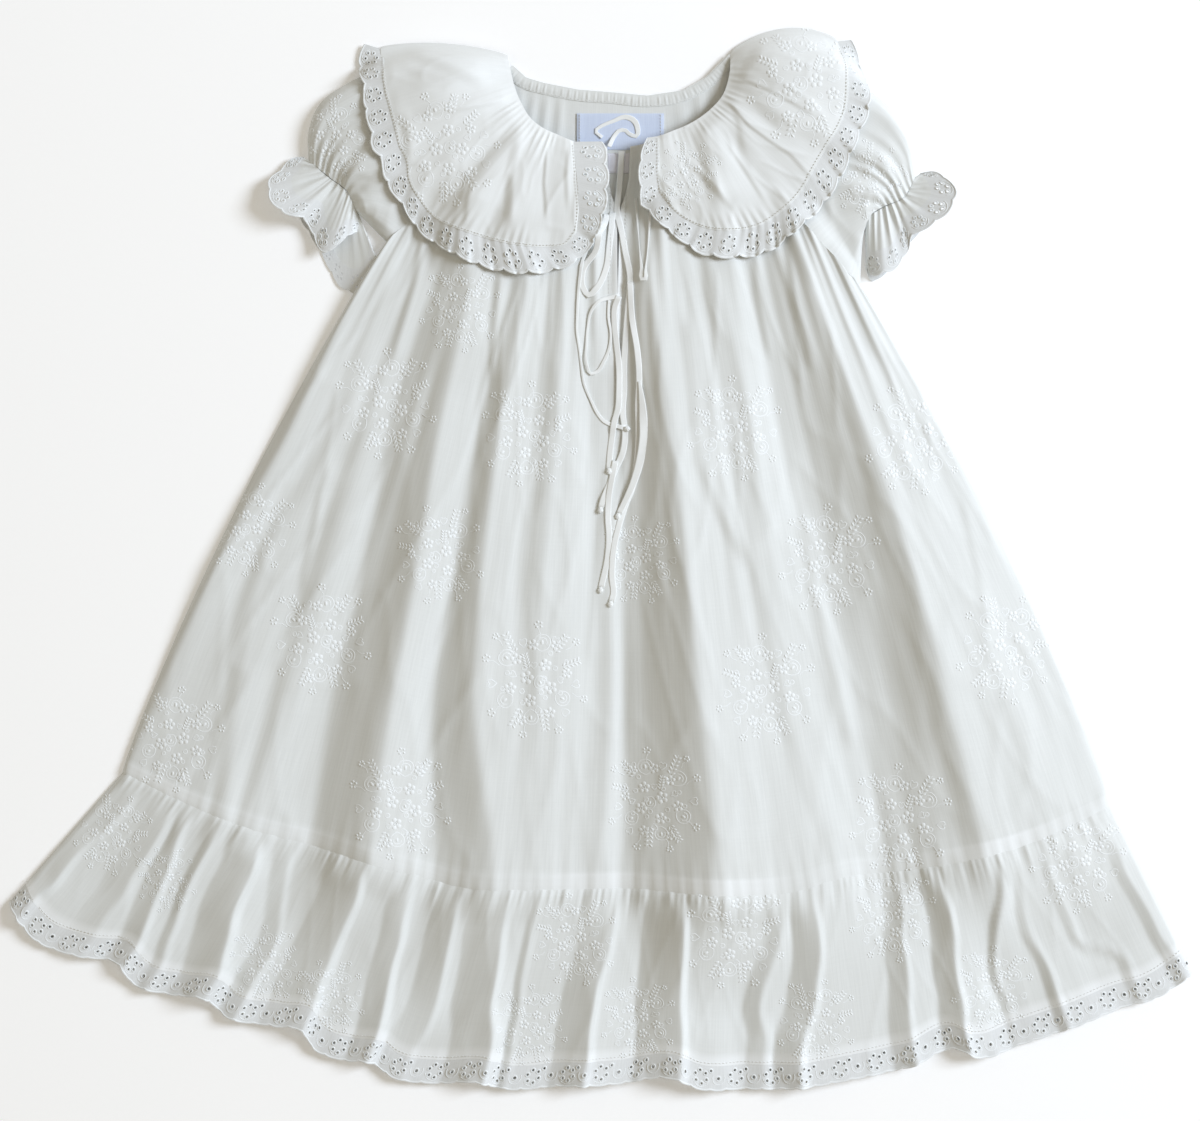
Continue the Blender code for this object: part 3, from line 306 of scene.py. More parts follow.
# --- ties: routes as x, y in mm, from the garment out to the free end ---
# Where a tie is drawn or rolled thin: share of the way along, width in mm
TIE_WIDTHS = {
    "tie_neck_loop": ((0, 2.4), (0.35, 2.4), (0.5, 3.2), (0.7, 2.2), (1, 1.8)),
    "tie_bow_loop_low": ((0, 2.8), (0.15, 1.7), (0.45, 1.4), (0.6, 2.0), (0.8, 1.5), (1, 1.5)),
    "tie_tail_left": ((0, 2.0), (0.2, 1.6), (0.75, 1.4), (1, 2.6)),
    "tie_bow_loop_right": ((0, 1.6), (0.42, 1.6), (0.5, 3.2), (0.58, 1.6), (1, 1.7)),
    "tie_tail_outer": ((0, 1.4), (0.12, 3.2), (1, 3.2)),
}
TIES = {
    "tie_neck_loop": (
        (3.9, 228.7), (6.9, 235.4), (9.4, 238.3), (12.7, 238.7), (15.4, 236.3), (19.3, 235.4),
        (19.6, 240.2), (17.9, 243.8), (13.6, 245.9), (5.9, 243.5), (-0.7, 240.6), (-3.6, 238.4), (0.2, 234.6),
    ),
    "tie_long_middle": (
        (10.7, 226.9), (10.2, 217.5), (9.3, 204.9), (8.3, 193.4), (10.7, 182.9), (12.7, 171.5), (15.4, 157.2),
        (14.5, 142.9), (13.2, 127.9), (12.1, 108.1), (12.1, 94.9), (11.4, 81.7), (12.7, 72.0), (11.6, 61.3),
        (7.2, 50.9), (3.9, 42.6), (0.6, 34.4), (-0.6, 30.0),
    ),
    "tie_bow_loop_left": (
        (2.6, 192.0), (1.6, 187.0), (-1.1, 181.5), (-3.4, 171.5), (-10.5, 160.9), (-10.6, 151.5),
        (-7.2, 147.1), (-3.3, 150.4),
        (2.0, 160.9), (4.2, 176.0), (5.5, 188.0), (5.8, 193.0),
    ),
    "tie_tail_left": (
        (-8.5, 172.0), (-11.0, 165.0), (-12.0, 158.5), (-12.9, 149.9), (-13.6, 137.8), (-13.8, 126.8),
        (-12.6, 118.0), (-11.4, 108.1),
        (-9.9, 98.2), (-6.1, 89.4), (-2.2, 81.7), (1.1, 77.8), (6.6, 75.6), (12.7, 74.0),
    ),
    "tie_bow_loop_low": (
        (9.4, 146.6), (3.3, 145.5), (-1.4, 143.9), (-5.9, 138.3), (-7.9, 129.0), (-8.6, 120.2), (-8.5, 109.1),
        (-6.2, 103.9), (-2.9, 104.8), (1.1, 110.8), (4.4, 119.6), (4.9, 126.0), (3.6, 134.5), (3.9, 145.2),
    ),
    "tie_tail_centre": (
        (9.4, 146.6), (7.2, 141.1), (6.9, 131.2), (7.9, 121.3), (9.2, 109.2), (9.4, 94.9), (8.8, 85.0),
        (6.6, 76.4), (5.5, 68.8), (4.4, 60.0), (3.9, 51.5),
    ),
    "tie_bow_loop_right": (
        (18.6, 201.0), (19.3, 191.1), (20.2, 178.0), (21.0, 168.0), (21.8, 160.5), (22.2, 155.5),
        (23.4, 155.5),
        (23.8, 160.5), (24.7, 168.0), (25.6, 178.0), (26.3, 188.0), (26.8, 197.0),
    ),
    "tie_tail_short": (
        (7.4, 56.0), (5.4, 46.0), (3.9, 37.1), (3.3, 25.0), (3.9, 12.9), (2.8, 0.8), (0.6, -9.1),
        (-0.6, -14.0),
    ),
    "tie_tail_right": (
        (15.4, 154.3), (16.5, 134.5), (19.4, 116.0), (20.4, 101.5), (19.8, 88.3), (20.0, 69.0), (19.0, 54.0),
        (16.6, 41.0), (12.7, 31.1), (9.4, 20.6), (6.6, 8.5), (5.5, -7.4), (6.1, -18.4), (5.0, -21.7),
    ),
    "tie_tail_outer": (
        (20.5, 99.5), (21.6, 92.0), (22.6, 80.5), (22.9, 69.0), (20.9, 56.1), (17.3, 44.0), (12.9, 34.1),
        (9.2, 26.6),
    ),
}
# Ties whose start or end goes in under the collar
TUCKED = {"tie_bow_loop_left": (1, 1), "tie_tail_left": (1, 0), "tie_bow_loop_right": (1, 1)}
KNOTTED = ("tie_long_middle", "tie_tail_left", "tie_tail_centre", "tie_tail_short", "tie_tail_right",
           "tie_tail_outer")

# --- sprays of embroidery: x, y of the middle, turn in degrees, size, mirrored ---
SPRAYS_FRONT = (
    (-119, 87, 6, 1.0, 0), (-78, 139, -8, 0.8, 1), (-40, 70, 4, 0.95, 0), (-89, 4, 8, 0.9, 1),
    (-194, 18, -22, 0.85, 1), (-155, -43, 6, 1.0, 0), (-235, -98, -14, 0.95, 1), (-111, -133, 5, 1.0, 0),
    (-37, -65, 3, 1.05, 0), (21, 1, 0, 0.8, 1), (73, 73, -4, 0.95, 1), (29, -131, 2, 0.95, 1),
    (90, -70, -3, 1.0, 1), (125, 1, -6, 1.0, 1), (172, 67, -12, 1.0, 0), (164, -142, -6, 1.0, 1),
    (222, -48, -14, 1.0, 0),
)
SPRAYS_FRILL = (
    (-15, -208, 0, 0.85, 1), (73, -205, 0, 1.0, 0), (160, -195, -6, 0.85, 1), (-185, -222, 10, 0.7, 0),
    (-150, -240, 8, 0.7, 1), (-40, -256, 4, 0.75, 0), (20, -252, 0, 0.75, 1), (118, -254, -4, 0.8, 0),
    (215, -236, -10, 0.8, 1), (-270, -150, -20, 0.75, 0), (262, -165, -16, 0.95, 1), (-240, -175, 10, 0.6, 1),
)
SPRAYS_COLLAR_LEFT = ((-86, 226, 28, 1.05, 0),)
SPRAYS_COLLAR_RIGHT = ((112, 262, -8, 1.15, 1), (47, 212, -20, 0.62, 0))
SPRAYS_SLEEVE_LEFT = ((-148, 232, 30, 0.8, 1),)
SPRAYS_SLEEVE_RIGHT = ((147, 210, -30, 0.7, 0),)
SPRAYS_BACK = (
    (-110, 90, 6, 1.0, 0), (-30, 40, 0, 1.0, 1), (60, 110, -6, 1.0, 0), (140, 30, -8, 1.0, 1),
    (-170, -30, 10, 1.0, 1), (-80, -60, 6, 1.0, 0), (20, -90, 0, 1.0, 1), (110, -60, -6, 1.0, 0),
    (200, -80, -12, 1.0, 1), (-220, -110, -14, 0.9, 0), (-20, 170, 0, 0.9, 0),
)


# --- the two sides ---
class Side(Enum):
    """The sides of the garment, as the viewer sees them."""

    LEFT = "left"
    RIGHT = "right"


@dataclass(frozen=True)
class CollarHalf:
    """What makes one front half of the collar."""

    edge: tuple
    neck: tuple
    folds: tuple
    creases: tuple
    bulge: float  # how far the shoulder's fold bows outwards, mm
    seed: int
    sprays: tuple


@dataclass(frozen=True)
class Arm:
    """What makes one sleeve and its cuff."""

    neck: tuple  # from the shoulder fold along the neck
    shoulder: tuple  # the shoulder fold, out to the elastic
    underarm: tuple
    elastic: tuple  # from the shoulder fold to the underarm
    crown: float  # height over the arm's middle, mm
    lean: float  # under 1, the crown leans to the shoulder fold
    sewn_in: float  # how far the raglan seam goes in under the panel in x, mm
    creases: tuple
    cuff: tuple
    cuff_back: tuple
    seed: int
    cuff_seed: int
    sprays: tuple


COLLAR_HALVES = {
    Side.LEFT: CollarHalf(COLLAR_LEFT, NECK_LEFT, COLLAR_FOLDS_LEFT, COLLAR_CREASES_LEFT, 4.5, 81,
                          SPRAYS_COLLAR_LEFT),
    Side.RIGHT: CollarHalf(COLLAR_RIGHT, NECK_RIGHT, COLLAR_FOLDS_RIGHT, COLLAR_CREASES_RIGHT, 10.0, 91,
                           SPRAYS_COLLAR_RIGHT),
}
ARMS = {
    Side.LEFT: Arm(
        neck=((-52.5, 273), (-49.5, 260), (-44.6, 242.6)),
        shoulder=((-52.5, 273), (-90, 279), (-118, 274), (-140, 265), (-157, 252), (-162.5, 236),
                  (-162, 222)),
        underarm=((-119.6, 177.6), (-127, 185), (-135, 193)),
        elastic=((-162, 222), (-150, 212), (-141, 205), (-135, 193)),
        crown=9.2, lean=1.0, sewn_in=1.0, creases=SLEEVE_CREASES_LEFT, cuff=CUFF_LEFT,
        cuff_back=CUFF_LEFT_BACK, seed=101, cuff_seed=121, sprays=SPRAYS_SLEEVE_LEFT,
    ),
    Side.RIGHT: Arm(
        neck=((72.5, 277), (67.5, 262), (57.4, 245.1)),
        shoulder=((72.5, 277), (104, 283), (130, 275), (146, 262), (159, 251), (170, 233), (173, 213)),
        underarm=((142.7, 153.2), (143.5, 172), (145, 190)),
        elastic=((173, 213), (166, 201), (155, 196), (145, 190)),
        crown=8.6, lean=0.5, sewn_in=-1.1, creases=SLEEVE_CREASES_RIGHT, cuff=CUFF_RIGHT,
        cuff_back=CUFF_RIGHT_BACK, seed=111, cuff_seed=131, sprays=SPRAYS_SLEEVE_RIGHT,
    ),
}


# --- curves and heights ---
def spline(q: Array, at: Sequence[float], values: Sequence) -> Array:
    """Smooth curve through values given at knots.

    Args:
        q: where to read the curve.
        at: the knots, rising.
        values: a number or a point for each knot.

    Returns:
        The curve at q.
    """
    q, at, values = np.asarray(q, float), np.asarray(at, float), np.asarray(values, float)
    slope = np.gradient(values, at, axis=0)
    i = np.clip(np.searchsorted(at, q, side="right") - 1, 0, len(at) - 2)
    step = at[i + 1] - at[i]
    f = (q - at[i]) / step
    if values.ndim > 1:
        f, step = f[..., None], step[..., None]
    return (
        (1 + 2 * f) * (1 - f) ** 2 * values[i]
        + f * (1 - f) ** 2 * step * slope[i]
        + f * f * (3 - 2 * f) * values[i + 1]
        + f * f * (f - 1) * step * slope[i + 1]
    )


def reached(points: Array) -> Array:
    """Length along a line at each of its points."""
    return np.r_[0, np.cumsum(np.linalg.norm(np.diff(points, axis=0), axis=1))]


def path(points: Sequence, q: Array) -> Array:
    """Points at shares q of the length of the smooth curve through points.

    Args:
        points: on the curve, in order.
        q: shares of its length.

    Returns:
        A point for each q.
    """
    points = np.asarray(points, float)
    knots = reached(points)
    fine = spline(np.linspace(0, knots[-1], 1500), knots, points)
    length = reached(fine)
    share = length / length[-1]
    return np.stack([np.interp(q, share, fine[:, i]) for i in range(fine.shape[1])], axis=-1)


def ease(low: float, high: float, x: Array) -> Array:
    """0 below low, 1 above high, smooth between."""
    f = np.clip((np.asarray(x, float) - low) / (high - low), 0, 1)
    return f * f * (3 - 2 * f)


def blend(a: Array, b: Array, f: Array) -> Array:
    """a where f is 0, b where it is 1."""
    return a + (b - a) * f


def shares(columns: int, rows: int) -> tuple[Array, Array]:
    """Shares across and along a grid, each from 0 to 1."""
    return np.meshgrid(np.linspace(0, 1, columns), np.linspace(0, 1, rows))


def turned(u: Array, v: Array, turn: float, x: float = 0.0, y: float = 0.0) -> Array:
    """Plan points turned by an angle in radians, then moved to x, y."""
    c, s = math.cos(turn), math.sin(turn)
    return np.stack([x + u * c - v * s, y + u * s + v * c], axis=-1)


def circle(x: float, y: float, radius: float, sides: int) -> Array:
    """Plan points round a circle."""
    a = np.arange(sides) * math.tau / sides
    return np.stack([x + radius * np.cos(a), y + radius * np.sin(a)], axis=-1)


def rest(x: Array, y: Array) -> Array:
    """How far the collar's hidden back part lifts the cloth above it."""
    return FLOOR_LIFT * (1 - ease(LIFT_FROM, LIFT_TO, np.hypot(x - NECK[0], y - NECK[1])))


def hinged(x: Array, lines: Array, heights: Array, rounding: float) -> Array:
    """Height at x of straight slopes between fold lines, with each bend rounded.

    Args:
        x: place across the folds, mm.
        lines: places of the fold lines, rising along the last axis, mm.
        heights: on each of them, mm.
        rounding: of each bend, mm.

    Returns:
        The height at x, mm.
    """
    slopes = np.diff(heights, axis=-1) / np.diff(lines, axis=-1)
    z = heights[..., 0] + slopes[..., 0] * (x - lines[..., 0])
    for k in range(1, slopes.shape[-1]):
        d = x - lines[..., k]
        z = z + (slopes[..., k] - slopes[..., k - 1]) * 0.5 * (d + np.sqrt(d * d + rounding**2))
    return z


def drift(u: Array, v: Array, seed: int, across: float, along: float) -> Array:
    """Smooth random heights.

    Args:
        u: place across, mm.
        v: place along, mm.
        seed: which random field.
        across: size of its cells across, mm.
        along: size of its cells along, mm.

    Returns:
        Heights from -1 to 1.
    """
    table = np.random.default_rng(seed).uniform(-1, 1, (97, 97))
    u, v = np.broadcast_arrays(np.asarray(u, float) / across + 31.3, np.asarray(v, float) / along + 17.7)
    i, j = np.floor(u).astype(int), np.floor(v).astype(int)
    f, g = u - i, v - j
    f, g = f * f * (3 - 2 * f), g * g * (3 - 2 * g)
    near = blend(table[i % 97, j % 97], table[(i + 1) % 97, j % 97], f)
    far = blend(table[i % 97, (j + 1) % 97], table[(i + 1) % 97, (j + 1) % 97], f)
    return blend(near, far, g)


def waver(u: Array, seed: int, across: float) -> Array:
    """Smooth random values from -1 to 1 along u, for cells of across mm."""
    return drift(u, 0 * u, seed, across, 1.0)


def gathers(u: Array, pitch: float, seed: int) -> Array:
    """Uneven tucks of gathered cloth from 0 to 1, about pitch mm apart along u.

    Args:
        u: place along, mm.
        pitch: mm from tuck to tuck.
        seed: which random field.

    Returns:
        The share of their height at each u.
    """
    swing = waver(u, seed, pitch * 2.3) * 1.6
    size = 0.62 + 0.38 * waver(u, seed + 1, pitch * 1.7)
    return size * (0.5 + 0.5 * np.sin(math.tau * u / pitch + swing)) ** 1.4


def pleats(u: Array, pitch: float, seed: int) -> Array:
    """Uneven overlapping pleats from 0 to 1: each climbs slowly and drops at once.

    Args:
        u: place along, mm.
        pitch: mm from pleat to pleat.
        seed: which random field.

    Returns:
        The share of their height at each u.
    """
    f = np.mod(u / pitch + 0.45 * waver(u, seed, pitch * 1.6), 1.0)
    size = 0.65 + 0.35 * waver(u, seed + 1, pitch * 1.3)
    return size * f / PLEAT_TOP * (1 - ease(PLEAT_TOP, 1.0, f))


@dataclass(frozen=True)
class Tucks:
    """Gathers of one size."""

    height: float  # mm
    pitch: float  # mm from tuck to tuck
    seed: int

    def __call__(self, u: Array) -> Array:
        """Their height along u, mm."""
        return self.height * gathers(u, self.pitch, self.seed)


@dataclass(frozen=True)
class Swells:
    """Soft random rises and hollows of one size."""

    height: float  # mm
    across: float  # mm, a swell's width
    along: float  # mm, its length
    seed: int

    def __call__(self, u: Array, v: Array) -> Array:
        """Their height at u across and v along, mm."""
        return self.height * drift(u, v, self.seed, self.across, self.along)


@dataclass(frozen=True)
class Crumples(Swells):
    """Fine sharp creases of worn cotton, where random fields cross their middle."""

    def __call__(self, u: Array, v: Array) -> Array:
        """Their height at u across and v along, mm."""
        first = 1 - np.abs(drift(u + 0.35 * v, v, self.seed, self.across, self.along))
        second = 1 - np.abs(drift(u - 0.30 * v, v, self.seed + 1, self.across * 0.7, self.along * 0.8))
        return self.height * (0.6 * np.clip(first, 0, 1) ** 5 + 0.4 * np.clip(second, 0, 1) ** 5)


def folded(across: Array, along: Array, table: Sequence, line_at: Sequence, z_at: Sequence, width: Array,
           rounding: float) -> Array:
    """Height of a table of fold lines.

    Args:
        across: place across the folds, as a share of the width.
        along: place along them, in the units of the knots.
        table: rows of a name, a place across for each of line_at, and a height for each of z_at.
        line_at, z_at: knots along the folds.
        width: the whole width, mm.
        rounding: of each bend, mm.

    Returns:
        The height, mm.
    """
    lines, heights, count = [], [], len(line_at) + 1
    for row in table:
        line = spline(np.clip(along, line_at[0], line_at[-1]), line_at, row[1:count]) * width
        lines.append(np.maximum(line, lines[-1] + 0.8) if lines else line)
        heights.append(spline(np.clip(along, z_at[0], z_at[-1]), z_at, row[count:]))
    return hinged(across * width, np.stack(lines, -1), np.stack(heights, -1), rounding)


def panel_height(x: Array, y: Array) -> Array:
    """Upper side of the front panel's cloth, from its main folds."""
    z = folded(x, -y, FOLDS, FOLD_AT, FOLD_Z_AT, 1.0, FOLD_ROUND)
    return rest(x, y) + np.maximum(z, FLAT)


def frill_height(s: Array, t: Array) -> Array:
    """Upper side of the front frill's cloth: each fold rises, drops just past its crest, then sinks slowly.

    The folds of the left half lean over more, so they drop further at once.
    """
    lines, heights = [0 * s - 9.0], [0 * s + FRILL_LOW]
    for row in FRILL_FOLDS:
        middle = spline(np.clip(t, FRILL_T[0], FRILL_T[-1]), FRILL_T, row[1:8]) * FRILL_WIDTH
        high = spline(np.clip(t, FRILL_Z_T[0], FRILL_Z_T[-1]), FRILL_Z_T, row[9:])
        kept = float(blend(*FRILL_KEPT, ease(0.3, 0.5, row[4])))
        for across, share in ((-row[8], 0.0), (row[8], 1.0), (row[8] + FRILL_DROP, kept)):
            lines.append(np.maximum(middle + across, lines[-1] + 0.7))
            heights.append(FRILL_LOW + share * high)
    lines.append(np.maximum(0 * s + FRILL_WIDTH, lines[-1] + 0.7))
    heights.append(0 * s + FRILL_LOW)
    z = hinged(s * FRILL_WIDTH, np.stack(lines, -1), np.stack(heights, -1), FRILL_ROUND)
    return np.maximum(z, FLAT)


def rise(distance: Array, half: float, height: Array, tail: float) -> Array:
    """A crease: up over twice half, then gently down over tail."""
    return height * ease(-half, half, distance) * np.exp(-np.maximum(distance - half, 0) / tail)


def creased(x: Array, y: Array, table: Sequence) -> Array:
    """Height of a table of small creases, each a rise along a line of points, high on the line's left.

    Args:
        x, y: the place in plan, mm.
        table: width, height, tail and points of each crease, mm.

    Returns:
        The height, mm.
    """
    z = 0 * x
    for width, height, tail, points in table:
        line = np.array(points, float)
        reach = reached(line)
        steps = np.linalg.norm(np.diff(line, axis=0), axis=1)
        nearest, across, along = np.full(x.shape, np.inf), 0 * x, 0 * x
        for start, end, step, before in zip(line[:-1], line[1:], steps, reach):
            way = (end - start) / step
            u, v = x - start[0], y - start[1]
            at = np.clip(u * way[0] + v * way[1], 0, step)
            off = np.hypot(u - at * way[0], v - at * way[1])
            closer = off < nearest
            nearest = np.where(closer, off, nearest)
            across = np.where(closer, np.sign(way[0] * v - way[1] * u) * off, across)
            along = np.where(closer, before + at, along)
        fade = ease(0, CREASE_FADE, along) * (1 - ease(reach[-1] - CREASE_FADE, reach[-1], along))
        z = z + rise(across, width / 2, height * fade, tail)
    return z


def panel_plan(top: Sequence, s: Array, t: Array) -> Array:
    """Plan of a panel, share s across and t from its upper edge down to the seam.

    Args:
        top: the table of its upper edge.
        s: share across.
        t: share down to the seam.

    Returns:
        x, y of each, mm.
    """
    table = np.array(top)
    upper = np.stack([np.interp(s, table[:, 0], table[:, i]) for i in (1, 2)], axis=-1)
    plan = blend(upper, path(SEAM_LINE, s), t[..., None])
    side = np.abs(2 * s - 1) ** 3 * np.sign(2 * s - 1)
    plan[..., 0] += SIDE_BULGE * side * np.clip(np.sin(np.pi * t), 0, 1) ** 0.7
    return plan


def frill_plan(s: Array, from_seam: float, from_hem: float, share: Array) -> Array:
    """Plan of a frill or its trim, a share of the way from a distance below the seam to one above the hem.

    Args:
        s: share across.
        from_seam, from_hem: what is left out at each end, mm.
        share: of the way between.

    Returns:
        x, y of each, mm.
    """
    upper, outer = path(SEAM_LINE, s), path(HEM_LINE, s)
    way = (outer - upper) / np.linalg.norm(outer - upper, axis=-1, keepdims=True)
    return blend(upper + way * from_seam, outer - way * from_hem, share[..., None])


def trim_plan(s: Array, under: float, short: float, share: Array) -> Array:
    """Plan of a hem's trim, from under mm inside the frill's edge to short mm inside the hem line."""
    inner, outer = frill_plan(s, 0, TRIM + under, share * 0 + 1), frill_plan(s, 0, short, share * 0 + 1)
    return blend(inner, outer, share[..., None])


def opening(y: Array) -> Array:
    """Half the width of the front's opening at height y."""
    return np.interp(y, *np.array(OPENING).T)


def raised(plan: Array, z: Array) -> Array:
    """A plan with its heights."""
    return np.concatenate([plan, np.broadcast_to(z, plan.shape[:-1])[..., None]], axis=-1)


def placed(points: Array) -> Array:
    """Millimetres to metres, about the garment's middle."""
    return (np.asarray(points, float) - (0.0, CENTRE_Y, 0.0)) * MM


# --- finishes ---
def linear(colour: str) -> tuple[float, float, float, float]:
    """An sRGB hex value as linear red, green, blue and alpha."""
    parts = [int(colour[i : i + 2], 16) / 255 for i in (1, 3, 5)]
    return (*[c / 12.92 if c <= 0.04045 else ((c + 0.055) / 1.055) ** 2.4 for c in parts], 1.0)


def node(tree: bpy.types.NodeTree, kind: str, settings: Optional[dict] = None, **links) -> bpy.types.Node:
    """Adds a node to a tree.

    Args:
        tree: where it goes.
        kind: its type.
        settings: its properties, by name.
        **links: a socket's value, or the output that feeds it. A name's "_" stands for a space, and
            "__" and a number stand for the socket's index.

    Returns:
        The node.
    """
    made = tree.nodes.new(kind)
    for name, value in (settings or {}).items():
        setattr(made, name, value)
    for name, value in links.items():
        socket = made.inputs[int(name[2:]) if name.startswith("__") else name.replace("_", " ")]
        if isinstance(value, bpy.types.NodeSocket):
            tree.links.new(value, socket)
        else:
            socket.default_value = value
    return made


def new_material(name: str) -> tuple[bpy.types.Material, bpy.types.NodeTree]:
    """A new material and its tree.

    Args:
        name: of the material.

    Returns:
        The material and its node tree.
    """
    material = bpy.data.materials.new(name)
    material.use_nodes = True
    return material, material.node_tree


def feed(tree: bpy.types.NodeTree, colour: bpy.types.NodeSocket,
         relief: Optional[bpy.types.NodeSocket] = None, **values) -> None:
    """Feeds a material's shader.

    Args:
        tree: the material's.
        colour: the output that colours it.
        relief: the output that gives its bumps.
        **values: its plain values, by socket, with "_" for a space.
    """
    shader = tree.nodes["Principled BSDF"]
    tree.links.new(colour, shader.inputs["Base Color"])
    if relief:
        tree.links.new(relief, shader.inputs["Normal"])
    for name, value in values.items():
        shader.inputs[name.replace("_", " ")].default_value = value


@dataclass(frozen=True)
class Woven:
    """A plain-woven cotton, seen as a matt ground with uneven threads both ways."""

    name: str
    ground: str  # the cloth
    thread: str  # its thicker, brighter threads
    doubled: str  # where a seam allowance lies behind it
    roughness: float = 0.92
    sheen: float = 0.12
    spacing: float = 1.1  # mm between slubs; the real threads, 0.25 mm apart, are too fine to show
    slub: float = 34.0  # mm a slub runs along its thread
    relief: float = 0.045  # mm

    def made(self) -> bpy.types.Material:
        """The material, on the piece's own map, whose unit is a metre of cloth."""
        material, tree = new_material(self.name)
        cloth = node(tree, "ShaderNodeUVMap", {"uv_map": "cloth"}).outputs[0]
        across, along = 1 / (self.spacing * MM), 1 / (self.slub * MM)
        waves = []
        for scale in ((across, along, 1.0), (along, across, 1.0)):
            spread = node(tree, "ShaderNodeMapping", Vector=cloth, Scale=scale).outputs[0]
            noise = node(tree, "ShaderNodeTexNoise", Vector=spread, Scale=1.0, Detail=3.0, Roughness=0.6)
            waves.append(noise.outputs[0])
        threads = node(tree, "ShaderNodeMath", {"operation": "MULTIPLY_ADD"}, __0=waves[1], __1=0.35,
                       __2=waves[0]).outputs[0]
        bright = node(tree, "ShaderNodeMapRange", Value=threads, From_Min=0.4, From_Max=0.95).outputs[0]
        mixed = node(tree, "ShaderNodeMix", {"data_type": "RGBA"}, __0=bright, __6=linear(self.ground),
                     __7=linear(self.thread)).outputs[2]
        seam = node(tree, "ShaderNodeAttribute", {"attribute_name": "doubled"}).outputs["Fac"]
        whole = node(tree, "ShaderNodeMix", {"data_type": "RGBA"}, __0=seam, __6=mixed,
                     __7=linear(self.doubled)).outputs[2]
        bump = node(tree, "ShaderNodeBump", Strength=1.0, Distance=self.relief * MM,
                    Height=threads).outputs[0]
        feed(tree, whole, bump, Roughness=self.roughness, Sheen_Weight=self.sheen, Sheen_Roughness=0.5,
             Specular_IOR_Level=0.25)
        return material


@dataclass(frozen=True)
class Thread:
    """Embroidery or sewing cotton, laid side by side so that it catches the light."""

    name: str
    colour: str
    shade: str
    roughness: float = 0.6
    strand: float = 0.7  # mm; strands of 0.35 mm are drawn twice as wide so that they show

    def made(self) -> bpy.types.Material:
        """The material, on object coordinates, because the work is too small for a map."""
        material, tree = new_material(self.name)
        place = node(tree, "ShaderNodeTexCoord").outputs["Object"]
        noise = node(tree, "ShaderNodeTexNoise", Vector=place, Scale=1 / (self.strand * MM),
                     Detail=2.0).outputs[0]
        mixed = node(tree, "ShaderNodeMix", {"data_type": "RGBA"}, __0=noise, __6=linear(self.colour),
                     __7=linear(self.shade)).outputs[2]
        bump = node(tree, "ShaderNodeBump", Strength=0.8, Distance=0.05 * MM, Height=noise).outputs[0]
        feed(tree, mixed, bump, Roughness=self.roughness, Sheen_Weight=0.15, Specular_IOR_Level=0.35)
        return material


@dataclass(frozen=True)
class Paper:
    """Matt white paper with a fine even grain, which the garment lies on."""

    name: str
    colour: str
    shade: str

    def made(self) -> bpy.types.Material:
        """The material, on object coordinates, lit a little from within so that it stays white."""
        material, tree = new_material(self.name)
        place = node(tree, "ShaderNodeTexCoord").outputs["Object"]
        grain = node(tree, "ShaderNodeTexNoise", Vector=place, Scale=400.0, Detail=2.0).outputs[0]
        mixed = node(tree, "ShaderNodeMix", {"data_type": "RGBA"}, __0=grain, __6=linear(self.colour),
                     __7=linear(self.shade)).outputs[2]
        feed(tree, mixed, Roughness=0.95, Emission_Color=(1, 1, 1, 1), Emission_Strength=0.16)
        return material


class Finish(Enum):
    """The finishes of the garment and the floor."""

    VOILE = Woven("woven_cotton_voile", "#e1e3e1", "#e9ebe9", "#f3f5f5")
    LACE = Woven("broderie_anglaise_cotton", "#dfe1e1", "#e9ebeb", "#eff0f0", spacing=0.8, slub=9.0)
    ROULEAU = Woven("bias_cut_cotton_rouleau", "#f0f2f0", "#f8f9f8", "#f8f9f8", spacing=0.7, slub=6.0)
    LABEL_BLUE = Woven("woven_blue_satin_label", "#ced9f0", "#d9e4f8", "#e4ecfa", 0.6, 0.3, 0.6, 14.0, 0.03)
    LABEL_WHITE = Woven("woven_white_satin_label", "#dfdfe8", "#ecebf2", "#f0f0f4", 0.6, 0.3, 0.6, 14.0, 0.03)
    SATIN_STITCH = Thread("satin_stitch_cotton", "#f4f6f6", "#ecefef")
    SEWING = Thread("sewing_thread_cotton", "#f0f0ee", "#d8d8d4", 0.7)
    FLOOR = Paper("matt_white_paper", "#fcfcfc", "#f9f9f9")


class Dresser:
    """Makes each finish once and hands it out."""

    def __init__(self) -> None:
        """No finish is made yet."""
        self.made: dict[Finish, bpy.types.Material] = {}

    def __call__(self, finish: Finish) -> bpy.types.Material:
        """The finish's material."""
        if finish not in self.made:
            self.made[finish] = finish.value.made()
        return self.made[finish]


# --- meshes ---
def shown(name: str, data: bpy.types.ID) -> bpy.types.Object:
    """A new object in the scene."""
    made = bpy.data.objects.new(name, data)
    bpy.context.scene.collection.objects.link(made)
    return made


def mesh_object(name: str, points: Array, faces: Iterable, material: bpy.types.Material) -> bpy.types.Object:
    """A smooth-shaded mesh object in the scene.

    Args:
        name: of the object.
        points: its points, m.
        faces: the points of each face.
        material: its finish.

    Returns:
        The object.
    """
    data = bpy.data.meshes.new(name)
    data.from_pydata(np.asarray(points).tolist(), [], [list(map(int, f)) for f in faces])
    data.validate()
    data.shade_smooth()
    data.materials.append(material)
    return shown(name, data)


def give_map(data: bpy.types.Mesh, maps: Array) -> None:
    """Gives a mesh its cloth map, from the map at each of its points.

    Args:
        data: the mesh.
        maps: u, v at each of its points, m.
    """
    corner = np.zeros(len(data.loops), np.int32)
    data.loops.foreach_get("vertex_index", corner)
    data.uv_layers.new(name="cloth").data.foreach_set("uv", maps[corner].reshape(-1))


